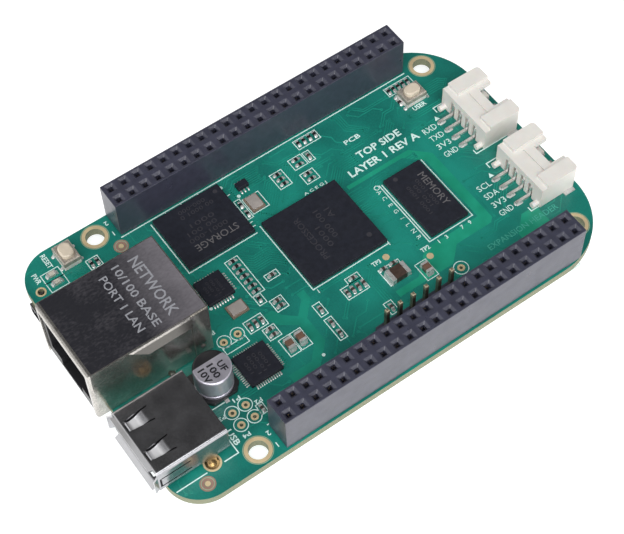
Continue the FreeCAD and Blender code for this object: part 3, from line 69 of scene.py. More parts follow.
LEVEL_TOLERANCE = 0.005
WELD_DISTANCE = 0.001


def place(x, y, z=0.0):
    """A point of the board's frame, in millimetres, as a point of the row frame."""
    return ORIGIN + Vector((x, y, z)) * MM


def box(node):
    """Lowest and highest corner of a CAD node in the board's frame."""
    low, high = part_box(node)
    return (low - ORIGIN) / MM, (high - ORIGIN) / MM


def centre(node):
    low, high = box(node)
    return (low + high) / 2


def near_edge(y):
    """A distance from the near edge as a distance from the centre line."""
    return y - EDGE_TO_CENTRE


def level_top(node):
    """Corners of the highest level face of a CAD node, in the board's frame."""
    points = [(v.co - ORIGIN) / MM for v in NODES[node].data.vertices]
    height = max(p.z for p in points)
    level = [p for p in points if p.z > height - LEVEL_TOLERANCE]
    return (Vector((min(p.x for p in level), min(p.y for p in level), height)),
            Vector((max(p.x for p in level), max(p.y for p in level), height)))


def islands(node):
    """Lowest and highest corner, in the board's frame, of each separate solid of a CAD node."""
    mesh = NODES[node].data
    points = np.array([v.co for v in mesh.vertices])
    steps = np.round(points / (MM * WELD_DISTANCE)).astype(int)
    welded = np.unique(steps, axis=0, return_inverse=True)[1].ravel()
    leader = list(range(welded.max() + 1))

    def find(i):
        while leader[i] != i:
            leader[i] = leader[leader[i]]
            i = leader[i]
        return i

    for polygon in mesh.polygons:
        corners = [find(welded[v]) for v in polygon.vertices]
        for corner in corners[1:]:
            leader[find(corner)] = find(corners[0])
    groups = {}
    for vertex, weld in enumerate(welded):
        groups.setdefault(find(weld), []).append(vertex)
    boxes = []
    for members in groups.values():
        part = (points[members] - np.array(ORIGIN)) / MM
        boxes.append((Vector(part.min(0)), Vector(part.max(0))))
    return sorted(boxes, key=lambda b: (round(b[0].x, 2), round(b[0].y, 2), round(b[0].z, 2)))


# ---- materials

def rgb(red, green, blue):
    """A display colour, 0 to 255 each way, as linear RGBA."""
    def linear(value):
        value /= 255
        return value / 12.92 if value <= 0.04045 else ((value + 0.055) / 1.055) ** 2.4
    return (linear(red), linear(green), linear(blue), 1.0)


def toned(colour, factor):
    """A linear colour made darker or brighter."""
    return tuple(min(1.0, c * factor) for c in colour[:3]) + (1.0,)


class Paint:
    """A Principled material and the texture nodes that feed it."""

    def __init__(self, name, colour, roughness, metallic=0.0, **sockets):
        self.material = bpy.data.materials.new(name)
        self.material.use_nodes = True
        self.tree = self.material.node_tree
        self.shader = self.tree.nodes["Principled BSDF"]
        self.where = self.tree.nodes.new("ShaderNodeTexCoord").outputs["Object"]
        values = {"Base Color": colour, "Roughness": roughness, "Metallic": metallic}
        for socket, value in {**values, **sockets}.items():
            self.shader.inputs[socket].default_value = value

    def node(self, kind, inputs=None, output=0, **settings):
        made = self.tree.nodes.new("ShaderNode" + kind)
        for name, value in settings.items():
            setattr(made, name, value)
        for key, value in (inputs or {}).items():
            if isinstance(value, bpy.types.NodeSocket):
                self.tree.links.new(value, made.inputs[key])
            else:
                made.inputs[key].default_value = value
        return made.outputs[output]

    def feed(self, socket, value):
        self.tree.links.new(value, self.shader.inputs[socket])

    def stretched(self, x, y, z):
        """The object's coordinates, scaled so that a texture is drawn out along an axis."""
        return self.node("Mapping", {"Vector": self.where, "Scale": (x, y, z)})

    def along(self, axis):
        """The object's coordinate along one axis: 0, 1 or 2."""
        return self.node("SeparateXYZ", {"Vector": self.where}, output=axis)

    def upright(self):
        """How far the surface faces up: 1 on a level top, 0 on a wall."""
        normal = self.node("NewGeometry", output=1)
        return self.node("SeparateXYZ", {"Vector": normal}, output=2)

    def noise(self, size, detail=3.0, where=None):
        """Cloudy values from 0 to 1 whose blotches are about size millimetres across."""
        inputs = {"Vector": where or self.where, "Scale": 1 / (size * MM), "Detail": detail}
        return self.node("TexNoise", inputs)

    def cell_edges(self, size, randomness):
        """Distance to the nearest border between cells about size millimetres across."""
        inputs = {"Vector": self.where, "Scale": 1 / (size * MM), "Randomness": randomness}
        return self.node("TexVoronoi", inputs, feature="DISTANCE_TO_EDGE")

    def span(self, value, low, high, to_low=0.0, to_high=1.0):
        """A value between low and high, moved to between to_low and to_high."""
        inputs = {"Value": value, "From Min": low, "From Max": high}
        return self.node("MapRange", {**inputs, "To Min": to_low, "To Max": to_high})

    def blend(self, share, first, second):
        """First colour where share is 0, second where it is 1."""
        return self.node("Mix", {0: share, 6: first, 7: second}, output=2, data_type="RGBA")

    def sum(self, first, second, operation="ADD"):
        return self.node("Math", {0: first, 1: second}, operation=operation)

    def bump(self, height, depth, strength=1.0):
        """Relief of depth millimetres."""
        relief = {"Height": height, "Strength": strength, "Distance": depth * MM}
        self.feed("Normal", self.node("Bump", relief))

    def shade(self, value, low, high, darkest, brightest):
        """Base colour between two colours, by a value between low and high."""
        self.feed("Base Color", self.blend(self.span(value, low, high), darkest, brightest))

    def dull(self, value, low, high, smooth, rough):
        """Roughness between two values, by a value between low and high."""
        self.feed("Roughness", self.span(value, low, high, smooth, rough))


GLOSS = {"Coat Weight": 0.3, "Coat Roughness": 0.25}
MATT = {"Specular IOR Level": 0.25}


def speckled(name, colour, roughness, size, depth, spread, **sockets):
    """Moulded plastic or resin: fine grain, faint mottling and uneven gloss."""
    paint = Paint(name, colour, roughness, **sockets)
    mottle = paint.noise(size * 12)
    paint.shade(mottle, 0.35, 0.65, toned(colour, 1 - spread), toned(colour, 1 + spread))
    paint.dull(paint.noise(size * 30), 0.3, 0.7, roughness * 0.85, min(1.0, roughness * 1.15))
    paint.bump(paint.noise(size, 2.0), depth)
    return paint.material


def metal(name, colour, roughness, metallic=1.0, size=0.5, draw=(1.0, 1.0, 1.0), depth=0.002):
    """Metal with drawn grain along one axis and faint stains."""
    paint = Paint(name, colour, roughness, metallic)
    paint.shade(paint.noise(size * 8), 0.4, 0.62, toned(colour, 0.88), colour)
    grain = paint.noise(size, 4.0, paint.stretched(*draw))
    paint.dull(grain, 0.3, 0.7, roughness * 0.7, min(1.0, roughness * 1.4))
    paint.bump(grain, depth)
    return paint.material


def laminate():
    """Solder mask over copper and weave on the two faces, bare glass laminate on the cut edge."""
    coat = {"Coat Weight": 0.1, "Coat Roughness": 0.25}
    paint = Paint("solder_mask", rgb(20, 108, 92), 0.36, **coat)
    cloud = paint.span(paint.noise(9.0, 2.0), 0.35, 0.68)
    mask = paint.blend(cloud, rgb(13, 104, 94), rgb(25, 136, 121))
    fine = paint.span(paint.cell_edges(0.55, 0.8), 0.03, 0.12)
    mask = paint.blend(paint.sum(fine, 0.12, "MULTIPLY"), mask, rgb(36, 152, 135))
    fibres = {"Vector": paint.where, "Scale": 900.0, "Distortion": 2.0}
    weave = paint.node("TexWave", fibres, output=1)
    plies = {"Vector": paint.where, "Scale": 2600.0, "Distortion": 1.5}
    layers = paint.node("TexWave", plies, output=1, bands_direction="Z")
    edge = paint.blend(paint.span(layers, 0.2, 0.8), rgb(104, 108, 84), rgb(150, 152, 124))
    level = paint.span(paint.sum(paint.upright(), 0.0, "ABSOLUTE"), 0.45, 0.55)
    paint.feed("Base Color", paint.blend(level, edge, mask))
    paint.feed("Roughness", paint.span(level, 0.0, 1.0, 0.75, 0.34))
    relief = paint.sum(paint.sum(fine, 0.6, "MULTIPLY"), paint.sum(weave, 0.25, "MULTIPLY"))
    paint.bump(relief, 0.012)
    return paint.material


def masked_copper(name, darker, brighter):
    """Copper seen through the solder mask."""
    paint = Paint(name, brighter, 0.32, **{"Coat Weight": 0.25, "Coat Roughness": 0.18})
    paint.shade(paint.noise(5.0), 0.35, 0.65, darker, brighter)
    paint.bump(paint.noise(0.4, 4.0), 0.004)
    return paint.material


def steel(name, roughness, colour, metallic, fleck):
    """Tinned sheet steel: fine flecks, faint stains, waviness.  Returns its paint and tone."""
    bright = rgb(*colour)
    paint = Paint(name, bright, roughness, metallic)
    flecks = paint.span(paint.noise(0.22, 5.0), 0.35, 0.65, -fleck, fleck)
    stains = paint.sum(paint.span(paint.noise(3.0, 3.0), 0.3, 0.7, 0.25, 0.75), flecks)
    tone = paint.blend(paint.span(stains, 0.0, 1.0), toned(bright, 0.62), toned(bright, 1.12))
    paint.feed("Base Color", tone)
    paint.dull(stains, 0.0, 1.0, roughness * 0.85, roughness * 1.2)
    waves = paint.sum(paint.noise(6.0, 0.0), paint.sum(paint.noise(0.3, 3.0), 0.03, "MULTIPLY"))
    paint.bump(waves, 0.05, 0.6)
    return paint, tone


def jack_steel():
    """Shield of the network socket, with painted shade making the two flaps tilted out from its
    sides much darker.
    """
    colour = (200, 196, 190)
    paint, tone = steel("jack_steel", 0.17, colour, 0.92, 0.45)
    low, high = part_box("ethernet_shield")
    across = paint.along(1)
    near_flap = paint.span(across, low.y + 0.62 * MM, low.y + 0.66 * MM, 1.0, 0.0)
    far_flap = paint.span(across, high.y - 0.66 * MM, high.y - 0.62 * MM)
    leaning = paint.span(paint.upright(), 0.15, 0.25)
    # Painted shade: the flaps' base colour is made much darker where their faces tilt out.
    painted_flap_shade = paint.sum(paint.sum(near_flap, far_flap), leaning, "MULTIPLY")
    paint.feed("Base Color", paint.blend(painted_flap_shade, tone, toned(rgb(*colour), 0.26)))
    return paint.material


def shield_steel():
    """Shells of the other ports; the large port's spring tongues and mouth lip get a painted
    highlight.
    """
    metallic = 1.0
    paint, tone = steel("shield_steel", 0.22, (182, 182, 186), metallic, 0.2)
    flats = [p for p in NODES["usb_shell"].data.polygons
             if p.normal.z > 0.99 and p.area > 2 * MM ** 2]
    top = max(p.center.z for p in flats)
    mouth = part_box("usb_shell")[0].x
    height = paint.along(2)
    sunk = paint.sum(paint.span(height, top - 0.6 * MM, top - 0.2 * MM, 1.0, 0.0),
                     paint.span(height, top - 1.8 * MM, top - 1.6 * MM), "MULTIPLY")
    lip = paint.span(paint.along(0), mouth + 0.9 * MM, mouth + 1.1 * MM, 0.8, 0.0)
    level = paint.span(paint.upright(), 0.6, 0.9)
    # Painted highlight: where the tongues and the lip face up, the base colour goes near white and
    # the metallic share drops.
    painted_highlight = paint.sum(paint.sum(sunk, lip, "MAXIMUM"), level, "MULTIPLY")
    paint.feed("Base Color", paint.blend(painted_highlight, tone, rgb(240, 240, 242)))
    paint.feed("Metallic", paint.span(painted_highlight, 0.0, 1.0, metallic, 0.35))
    return paint.material


def film():
    """Dark film on top of the network socket, finely scuffed, with a painted reflection that makes
    it paler towards its rear edge.
    """
    paint = Paint("printed_film", rgb(48, 48, 54), 0.42, 0.3)
    low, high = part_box("ethernet_shield")
    # Painted reflection: paler from the middle of the film to its rear edge; scuffs and cloudy tone
    # are added on top.
    painted_reflection_and_scuffs = paint.span(paint.along(0), (low.x + high.x) / 2, high.x, 0.0, 0.9)
    scuffs = paint.noise(0.3, 6.0, paint.stretched(0.5, 1.0, 1.0))
    painted_reflection_and_scuffs = paint.sum(painted_reflection_and_scuffs, paint.span(scuffs, 0.3, 0.7, -0.1, 0.1))
    painted_reflection_and_scuffs = paint.sum(painted_reflection_and_scuffs, paint.span(paint.noise(6.0, 3.0), 0.3, 0.7, -0.12, 0.12))
    paint.shade(painted_reflection_and_scuffs, 0.0, 1.0, rgb(42, 42, 48), rgb(128, 124, 130))
    paint.dull(scuffs, 0.3, 0.7, 0.36, 0.5)
    paint.bump(scuffs, 0.003)
    return paint.material


def can_metal():
    """Satin aluminium can, its top spun smooth and printed black beyond a chord."""
    paint = Paint("can_aluminium", rgb(206, 202, 212), 0.36, 0.75)
    clouds = paint.span(paint.noise(2.5), 0.35, 0.65)
    shine = paint.blend(clouds, rgb(190, 187, 200), rgb(214, 211, 222))
    low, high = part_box("capacitor_can")
    chord = (low.y + high.y) / 2 + 1.2 * MM
    beyond = paint.span(paint.along(1), chord, chord + 0.03 * MM)
    upper = paint.span(paint.along(2), high.z - 0.4 * MM, high.z - 0.36 * MM)
    printed = paint.sum(beyond, upper, "MULTIPLY")
    paint.feed("Base Color", paint.blend(printed, shine, rgb(24, 24, 28)))
    paint.feed("Metallic", paint.span(printed, 0.0, 1.0, 0.75, 0.0))
    spun = paint.noise(0.3, 3.0, paint.stretched(1.0, 1.0, 0.08))
    paint.dull(spun, 0.3, 0.7, 0.28, 0.42)
    paint.bump(spun, 0.003)
    return paint.material


def pin_metal():
    """Square pins: dull dark plating, bare and pale at the upper tips."""
    paint = Paint("pin_metal", rgb(120, 116, 104), 0.35, 0.8)
    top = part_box("debug_header_pins")[1].z
    tip = paint.span(paint.along(2), top - 1.1 * MM, top - 0.6 * MM)
    stains = paint.span(paint.noise(1.2), 0.35, 0.65)
    stained = paint.blend(stains, rgb(84, 82, 74), rgb(140, 132, 112))
    paint.feed("Base Color", paint.blend(tip, stained, rgb(176, 164, 140)))
    paint.bump(paint.noise(0.2), 0.003)
    return paint.material


def ceramic():
    """Fired ceramic: brown above a height, nearly black below it, so the low capacitors are nearly
    black and the tall ones have painted shade at their feet.
    """
    paint = Paint("ceramic_brown", rgb(60, 52, 50), 0.4, **GLOSS)
    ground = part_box("ceramic_capacitors")[0].z
    # Below this height the colour is nearly black: the low parts' own colour, and painted shade on
    # the foot of the tall ones.
    tall = paint.span(paint.along(2), ground + 0.52 * MM, ground + 0.56 * MM)
    dark = paint.blend(paint.noise(0.6), rgb(48, 42, 42), rgb(78, 66, 60))
    brown = paint.blend(paint.noise(0.6), rgb(92, 68, 56), rgb(124, 96, 80))
    paint.feed("Base Color", paint.blend(tall, dark, brown))
    paint.bump(paint.noise(0.05, 2.0), 0.004)
    return paint.material


def lens(name, colour):
    """Frosted clear plastic of a light or a light pipe."""
    paint = Paint(name, colour, 0.22, **{"Transmission Weight": 0.35, "Coat Weight": 0.3})
    paint.shade(paint.noise(0.6), 0.3, 0.7, toned(colour, 0.85), colour)
    paint.bump(paint.noise(0.3), 0.004)
    return paint.material


MATERIALS = {
    "solder_mask": laminate(),
    "jack_steel": jack_steel(),
    "shield_steel": shield_steel(),
    "button_steel": steel("button_steel", 0.45, (196, 188, 176), 0.5, 0.45)[0].material,
    "printed_film": film(),
    "can_aluminium": can_metal(),
    "pin_metal": pin_metal(),
    "ceramic_brown": ceramic(),
}
# Copper under the mask: darker and brighter colour.
COPPERS = {
    "masked_pour": ((23, 143, 114), (34, 162, 132)),
    "masked_pour_faint": ((19, 124, 104), (27, 144, 122)),
    "masked_track": ((18, 122, 107), (29, 146, 127)),
}
# Moulded, fired and printed materials: colour, roughness, size and depth of the grain, spread
# of the mottling, other shader values.
SPECKLED = {
    "bare_laminate": ((150, 120, 106), 0.6, 0.1, 0.006, 0.12, {}),
    "mask_rim": ((150, 172, 144), 0.5, 0.1, 0.004, 0.1, {}),
    "silkscreen": ((214, 240, 235), 0.6, 0.08, 0.003, 0.08, {}),
    "silkscreen_faint": ((66, 168, 148), 0.6, 0.08, 0.003, 0.08, {}),
    "header_plastic": ((58, 59, 74), 0.32, 0.1, 0.006, 0.12, {"Specular IOR Level": 0.75}),
    "black_plastic": ((30, 30, 33), 0.4, 0.12, 0.006, 0.18, {}),
    "epoxy_block": ((30, 30, 32), 0.6, 0.12, 0.006, 0.18, {}),
    "plunger_plastic": ((214, 201, 181), 0.45, 0.1, 0.004, 0.05, GLOSS),
    "ivory_plastic": ((224, 221, 215), 0.5, 0.15, 0.004, 0.02,
                      {"Subsurface Weight": 0.1, "Subsurface Scale": 0.0005}),
    "chip_mould": ((33, 35, 44), 0.55, 0.07, 0.008, 0.14, MATT),
    "chip_print": ((100, 98, 100), 0.6, 0.05, 0.002, 0.1, MATT),
    "chip_print_faint": ((56, 55, 61), 0.6, 0.05, 0.002, 0.1, MATT),
    "film_print": ((142, 143, 149), 0.5, 0.05, 0.002, 0.05, {}),
    "black_print": ((28, 28, 34), 0.5, 0.05, 0.002, 0.1, {}),
    "ceramic_pale": ((126, 110, 96), 0.45, 0.12, 0.006, 0.18, {}),
    "resistor_glaze": ((30, 28, 30), 0.3, 0.06, 0.004, 0.15, GLOSS),
    "ferrite": ((68, 52, 45), 0.45, 0.06, 0.008, 0.2, {}),
}
# Plain metals: colour, roughness, metallic share, size of the grain.
METALS = {
    "gold_plate": ((224, 202, 160), 0.5, 0.3, 0.3),
    "gold_contact": ((214, 180, 112), 0.3, 0.8, 0.3),
    # The leg cups' solder, coloured gold as a painted reflection of the plated wall.
    "painted_gold_reflection": ((176, 146, 98), 0.3, 1.0, 0.3),
    "spring_steel": ((190, 190, 190), 0.25, 1.0, 0.5),
    "tinned_metal": ((216, 214, 212), 0.34, 0.45, 0.3),
    "lead_metal": ((244, 240, 236), 0.25, 0.75, 2.0),
    "crystal_metal": ((198, 190, 184), 0.45, 0.5, 0.3, (0.2, 1.0, 1.0)),
    "solder": ((226, 226, 224), 0.32, 0.6, 0.4, (1.0, 1.0, 1.0), 0.001),
}
LENSES = {
    "green_lens": (190, 215, 190), "amber_lens": (220, 205, 170), "light_lens": (246, 243, 228),
}
for name, (darker, brighter) in COPPERS.items():
    MATERIALS[name] = masked_copper(name, rgb(*darker), rgb(*brighter))
for name, (colour, *values, sockets) in SPECKLED.items():
    MATERIALS[name] = speckled(name, rgb(*colour), *values, **sockets)
for name, (colour, *values) in METALS.items():
    MATERIALS[name] = metal(name, rgb(*colour), *values)
for name, colour in LENSES.items():
    MATERIALS[name] = lens(name, rgb(*colour))

SLOT_OF = {row["node"]: row["material_slot"] for row in frame["record"]["subparts"]}


def dress(obj, material):
    """Gives an object one material."""
    obj.data.materials.clear()
    obj.data.materials.append(MATERIALS[material])
    for polygon in obj.data.polygons:
        polygon.material_index = 0


# Edge rounding of the CAD nodes.  Moulded parts have soft edges, sheet metal has none.
ROUNDED = {
    "header_plastic": 0.08, "ivory_plastic": 0.12, "black_plastic": 0.06, "chip_mould": 0.05,
    "ceramic_brown": 0.05, "resistor_glaze": 0.03, "ferrite": 0.08, "crystal_metal": 0.08,
    "plunger_plastic": 0.08, "solder": 0.03, "ceramic_pale": 0.03,
}
SHARP_EDGE = math.radians(40)
SPECIAL = {
    "reset_button_cover": "button_steel", "user_button_cover": "button_steel",
    "ethernet_shield": "jack_steel", "uart_socket_contacts": "lead_metal",
    "i2c_socket_contacts": "lead_metal",
}
for node, obj in NODES.items():
    slot = SPECIAL.get(node, SLOT_OF[node])
    dress(obj, slot)
    if slot in ROUNDED:
        weld = obj.modifiers.new("weld", "WELD")
        weld.merge_threshold = WELD_DISTANCE / 2 * MM
        bevel = obj.modifiers.new("edges", "BEVEL")
        bevel.width = ROUNDED[slot] * MM
        bevel.segments = 2
        bevel.angle_limit = SHARP_EDGE
        bevel.use_clamp_overlap = True

# The snap domes and the slider's spring: joint, axis, and travel with a little
# room.  Each is given a mesh of its own.
SPRINGS = {
    "reset_button_dome": ("reset_button_press", (0.0, 0.0, 1.0), 0.27),
    "user_button_dome": ("user_button_press", (0.0, 0.0, 1.0), 0.27),
    "microsd_spring": ("card_slider_push", (1.0, 0.0, 0.0), 1.25),
}
for node, (joint, axis, travel) in SPRINGS.items():
    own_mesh(NODES[node])


# ---- flat shapes

def added(name, data):
    """A new object in the scene."""
    obj = bpy.data.objects.new(name, data)
    bpy.context.scene.collection.objects.link(obj)
    return obj


SHARPEST_MITRE = 0.3


def offset(points, distance, closed):
    """The same path moved sideways: to its left where distance is positive."""
    count = len(points)
    moved = []
    for i, point in enumerate(points):
        sides = []
        if closed or i:
            sides.append((point - points[i - 1]).normalized())
        if closed or i < count - 1:
            sides.append((points[(i + 1) % count] - point).normalized())
        normals = [Vector((-d.y, d.x)) for d in sides]
        mitre = sum(normals, Vector((0, 0)))
        mitre /= max(mitre.dot(normals[0]), SHARPEST_MITRE)
        moved.append(point + mitre * distance)
    return moved


def circle(x, y, radius, steps=24):
    turns = [2 * math.pi / steps * i for i in range(steps)]
    return [Vector((x + radius * math.cos(t), y + radius * math.sin(t))) for t in turns]


def rectangle(x0, y0, x1, y1):
    return [Vector(p) for p in ((x0, y0), (x1, y0), (x1, y1), (x0, y1))]


class Shape:
    """Closed lumps in the board's frame, gathered into one mesh."""

    def __init__(self):
        self.points, self.faces = [], []

    def add(self, points):
        start = len(self.points)
        self.points += [place(*p) for p in points]
        return start

    def band(self, first, second, count):
        """Faces between two rings of count points."""
        for i in range(count):
            j = (i + 1) % count
            self.faces.append([first + i, first + j, second + j, second + i])

    def turned(self, x, y, profile, steps):
        """A profile of (radius, height) turned round an upright axis."""
        rings = [self.add([(p.x, p.y, z) for p in circle(x, y, radius, steps)])
                 for radius, z in profile]
        for first, second in zip(rings, rings[1:]):
            self.band(first, second, steps)
        self.faces.append([rings[0] + i for i in reversed(range(steps))])
        self.faces.append([rings[-1] + i for i in range(steps)])

    def heap(self, rows, base):
        """A sheet of points, given row by row, as a lump that stands on a height."""
        deep, wide = len(rows), len(rows[0])
        start = self.add([p for row in rows for p in row])
        for i in range(deep - 1):
            for j in range(wide - 1):
                corner = start + i * wide + j
                self.faces.append([corner, corner + 1, corner + wide + 1, corner + wide])
        rim = [(0, j) for j in range(wide)] + [(i, wide - 1) for i in range(1, deep)]
        rim += [(deep - 1, j) for j in range(wide - 2, -1, -1)]
        rim += [(i, 0) for i in range(deep - 2, 0, -1)]
        foot = self.add([(rows[i][j][0], rows[i][j][1], base) for i, j in rim])
        for k, (i, j) in enumerate(rim):
            following = (k + 1) % len(rim)
            m, n = rim[following]
            edge = [start + i * wide + j, start + m * wide + n]
            self.faces.append(edge + [foot + following, foot + k])
        self.faces.append([foot + k for k in range(len(rim))])

    def build(self, name, material, slot, smooth=None):
        """Makes the piece; smooth is the angle in degrees above which an edge stays sharp."""
        mesh = bpy.data.meshes.new(name)
        mesh.from_pydata([tuple(p) for p in self.points], [], self.faces)
        mesh.validate()
        sheet = bmesh.new()
        sheet.from_mesh(mesh)
        bmesh.ops.recalc_face_normals(sheet, faces=sheet.faces)
        sheet.to_mesh(mesh)
        sheet.free()
        obj = added(name, mesh)
        dress(obj, material)
        if smooth:
            mesh.polygons.foreach_set("use_smooth", [True] * len(mesh.polygons))
            mesh.set_sharp_from_angle(angle=math.radians(smooth))
        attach(obj, "board")


class Layer(Shape):
    """Flat closed shapes between two heights."""

    def __init__(self, low, high):
        super().__init__()
        self.low, self.high = low, high

    def plate(self, outline):
        """A filled outline, given anticlockwise."""
        count = len(outline)
        start = self.add([(p[0], p[1], z) for z in (self.low, self.high) for p in outline])
        self.faces.append([start + i for i in reversed(range(count))])
        self.faces.append([start + count + i for i in range(count)])
        self.band(start, start + count, count)

    def disc(self, x, y, radius, steps=16):
        self.plate(circle(x, y, radius, steps))

    def line(self, points, width, closed=False):
        """A stroke of one width along a path."""
        path = [Vector(p) for p in points]
        left, right = offset(path, width / 2, closed), offset(path, -width / 2, closed)
        rows = [(right, self.low), (left, self.low), (left, self.high), (right, self.high)]
        start = self.add([(p.x, p.y, z) for side, z in rows for p in side])
        count = len(left)
        for i in range(count if closed else count - 1):
            j = (i + 1) % count
            for side in range(4):
                a, b = side * count, (side + 1) % 4 * count
                self.faces.append([start + a + j, start + a + i, start + b + i, start + b + j])
        if not closed:
            self.faces.append([start + side * count for side in range(4)])
            self.faces.append([start + side * count + count - 1 for side in reversed(range(4))])

    def ring(self, x, y, radius, width, steps=24):
        self.line(circle(x, y, radius, steps), width, closed=True)

    def frame(self, x0, y0, x1, y1, width):
        self.line(rectangle(x0, y0, x1, y1), width, closed=True)

    def letters(self, text, x, y, height, width=None, angle=0.0, mirrored=False, weight=0.0):
        """Plain lettering centred on a point, with a cap height and, if asked, width and weight."""
        curve = bpy.data.curves.new("letters", "FONT")
        curve.body = text
        curve.resolution_u = 2
        curve.extrude = 0.5
        curve.offset = weight
        holder = bpy.data.objects.new("letters", curve)
        mesh = bpy.data.meshes.new_from_object(holder)
        corners = np.array([v.co for v in mesh.vertices])
        low, high = corners.min(0), corners.max(0)
        scale_y = height / (high[1] - low[1])
        scale_x = width / (high[0] - low[0]) if width else scale_y
        turn = Matrix.Rotation(angle, 2)
        flip = -1.0 if mirrored else 1.0
        placed = []
        for corner in corners:
            flat = turn @ Vector(((corner[0] - (low[0] + high[0]) / 2) * scale_x * flip,
                                  (corner[1] - (low[1] + high[1]) / 2) * scale_y))
            placed.append((x + flat.x, y + flat.y, self.high if corner[2] > 0 else self.low))
        start = self.add(placed)
        self.faces += [[start + v for v in polygon.vertices] for polygon in mesh.polygons]
        bpy.data.objects.remove(holder)
        bpy.data.curves.remove(curve)
        bpy.data.meshes.remove(mesh)


# ---- copper

TRACK_WIDTH = 0.2
TRACK_PITCH = 0.42
VIA_RADIUS = 0.27
COMPASS = [Vector((math.cos(k * math.pi / 4), math.sin(k * math.pi / 4))) for k in range(8)]
# The router works on square cells of this size, and leaves some free on each side of a track.
CELL = 0.14
CLEAR_CELLS = 2
EDGE_MARGIN = 1.2
CORNER_CENTRE, CORNER_REACH = 12, 11
HOLE_CLEARANCE, PAD_CLEARANCE = 3, 0.25


class Router:
    """Draws tracks that run along, across or diagonally on one face, clear of each other."""

    def __init__(self, seed, blocked):
        self.chance = random.Random(seed)
        self.taken = np.zeros((int(LENGTH / CELL) + 2, int(WIDTH / CELL) + 2), bool)
        for x0, y0, x1, y1 in blocked:
            self.occupy(*self.cell(x0, y0), *self.cell(x1, y1))

    def occupy(self, i0, j0, i1, j1):
        self.taken[max(i0, 0):i1 + 1, max(j0, 0):j1 + 1] = True

    def cell(self, x, y):
        return int(x / CELL), int((y + SIDE) / CELL)

    def cells_along(self, points):
        found = []
        for a, b in zip(points, points[1:]):
            steps = max(1, int((b - a).length / (CELL * 0.8)))
            found += [self.cell(*(a + (b - a) * (k / steps))) for k in range(steps + 1)]
        return found

    def free(self, points):
        """Whether a path stays on the board, off its round corners and off what is taken."""
        for x, y in points:
            corner = math.hypot(max(0, x - LENGTH + CORNER_CENTRE),
                                max(0, abs(y) - SIDE + CORNER_CENTRE))
            inside = EDGE_MARGIN < x < LENGTH - EDGE_MARGIN and abs(y) < SIDE - EDGE_MARGIN
            if corner > CORNER_REACH or not inside:
                return False
        return not any(self.taken[i, j] for i, j in self.cells_along(points))

    def take(self, points):
        for i, j in self.cells_along(points):
            self.occupy(i - CLEAR_CELLS, j - CLEAR_CELLS, i + CLEAR_CELLS, j + CLEAR_CELLS)

    def bundle(self, start, heading, lengths, lanes):
        """Parallel tracks, each straight, diagonal and straight again.  Returns those that fit."""
        turn = self.chance.choice((-1, 1))
        directions = [COMPASS[heading], COMPASS[(heading + turn) % 8], COMPASS[heading]]
        path = [Vector(start)]
        for direction, length in zip(directions, lengths):
            path.append(path[-1] + direction * length)
        runs = []
        for lane in range(lanes):
            run = offset(path, lane * TRACK_PITCH * turn, False)
            run[-1] = run[-1] + directions[2] * (self.chance.random() * 1.2)
            if self.free(run):
                runs.append(run)
        for run in runs:
            self.take(run)
        return runs

    def fill(self, attempts):
        """Fills the face with track bundles."""
        pick, runs = self.chance.uniform, []
        for _ in range(attempts):
            start = (pick(1.5, LENGTH - 1.5), pick(-SIDE + 1.5, SIDE - 1.5))
            heading = self.chance.choice((0, 0, 2, 4, 4, 6, 1, 3, 5, 7))
            lengths = (pick(0.6, 7), pick(0.5, 3.5), pick(0.6, 6))
            runs += self.bundle(start, heading, lengths, self.chance.choice((1, 1, 2, 3, 4, 6, 8)))
        return runs


def grown(low, high, margin):
    return low.x - margin, low.y - margin, high.x + margin, high.y + margin


HOUSINGS = ("near_header_housing", "far_header_housing")
HOLES = [Vector((x, side * y)) for x, y in ((14.605, 24.13), (80.645, 20.955))
         for side in (-1, 1)]
PADS = islands("plated_pads")
# Heights of what is printed or plated on a face, above it.
TRACK_RISE, TENT_RISE, POUR_RISE = 0.03, 0.042, 0.02


def pads_on(side):
    """The plated pads of the top (1) or bottom (-1) face."""
    middle = -THICKNESS / 2
    return [(low, high) for low, high in PADS if (low.z + high.z) / 2 * side > middle * side]


def between(surface, rise):
    """A thin layer that stands on a face, up or down."""
    return Layer(min(surface, surface + rise), max(surface, surface + rise))


def copper_face(side, name, seed, attempts, extra):
    """Tracks, and the tented vias at their ends, on one face."""
    blocked = [grown(low, high, PAD_CLEARANCE) for low, high in pads_on(side)] + extra
    blocked += [grown(hole, hole, HOLE_CLEARANCE) for hole in HOLES]
    surface = 0.0 if side > 0 else -THICKNESS
    tracks = between(surface, TRACK_RISE * side)
    tents = between(surface, TENT_RISE * side)
    for run in Router(seed, blocked).fill(attempts):
        tracks.line(run, TRACK_WIDTH)
        for via in (run[0], run[-1]):
            tents.ring(via.x, via.y, VIA_RADIUS * 0.72, VIA_RADIUS * 0.56, 10)
    tracks.build(f"tracks_{name}", "masked_track", "solder_mask")
    tents.build(f"vias_{name}", "masked_track", "solder_mask")


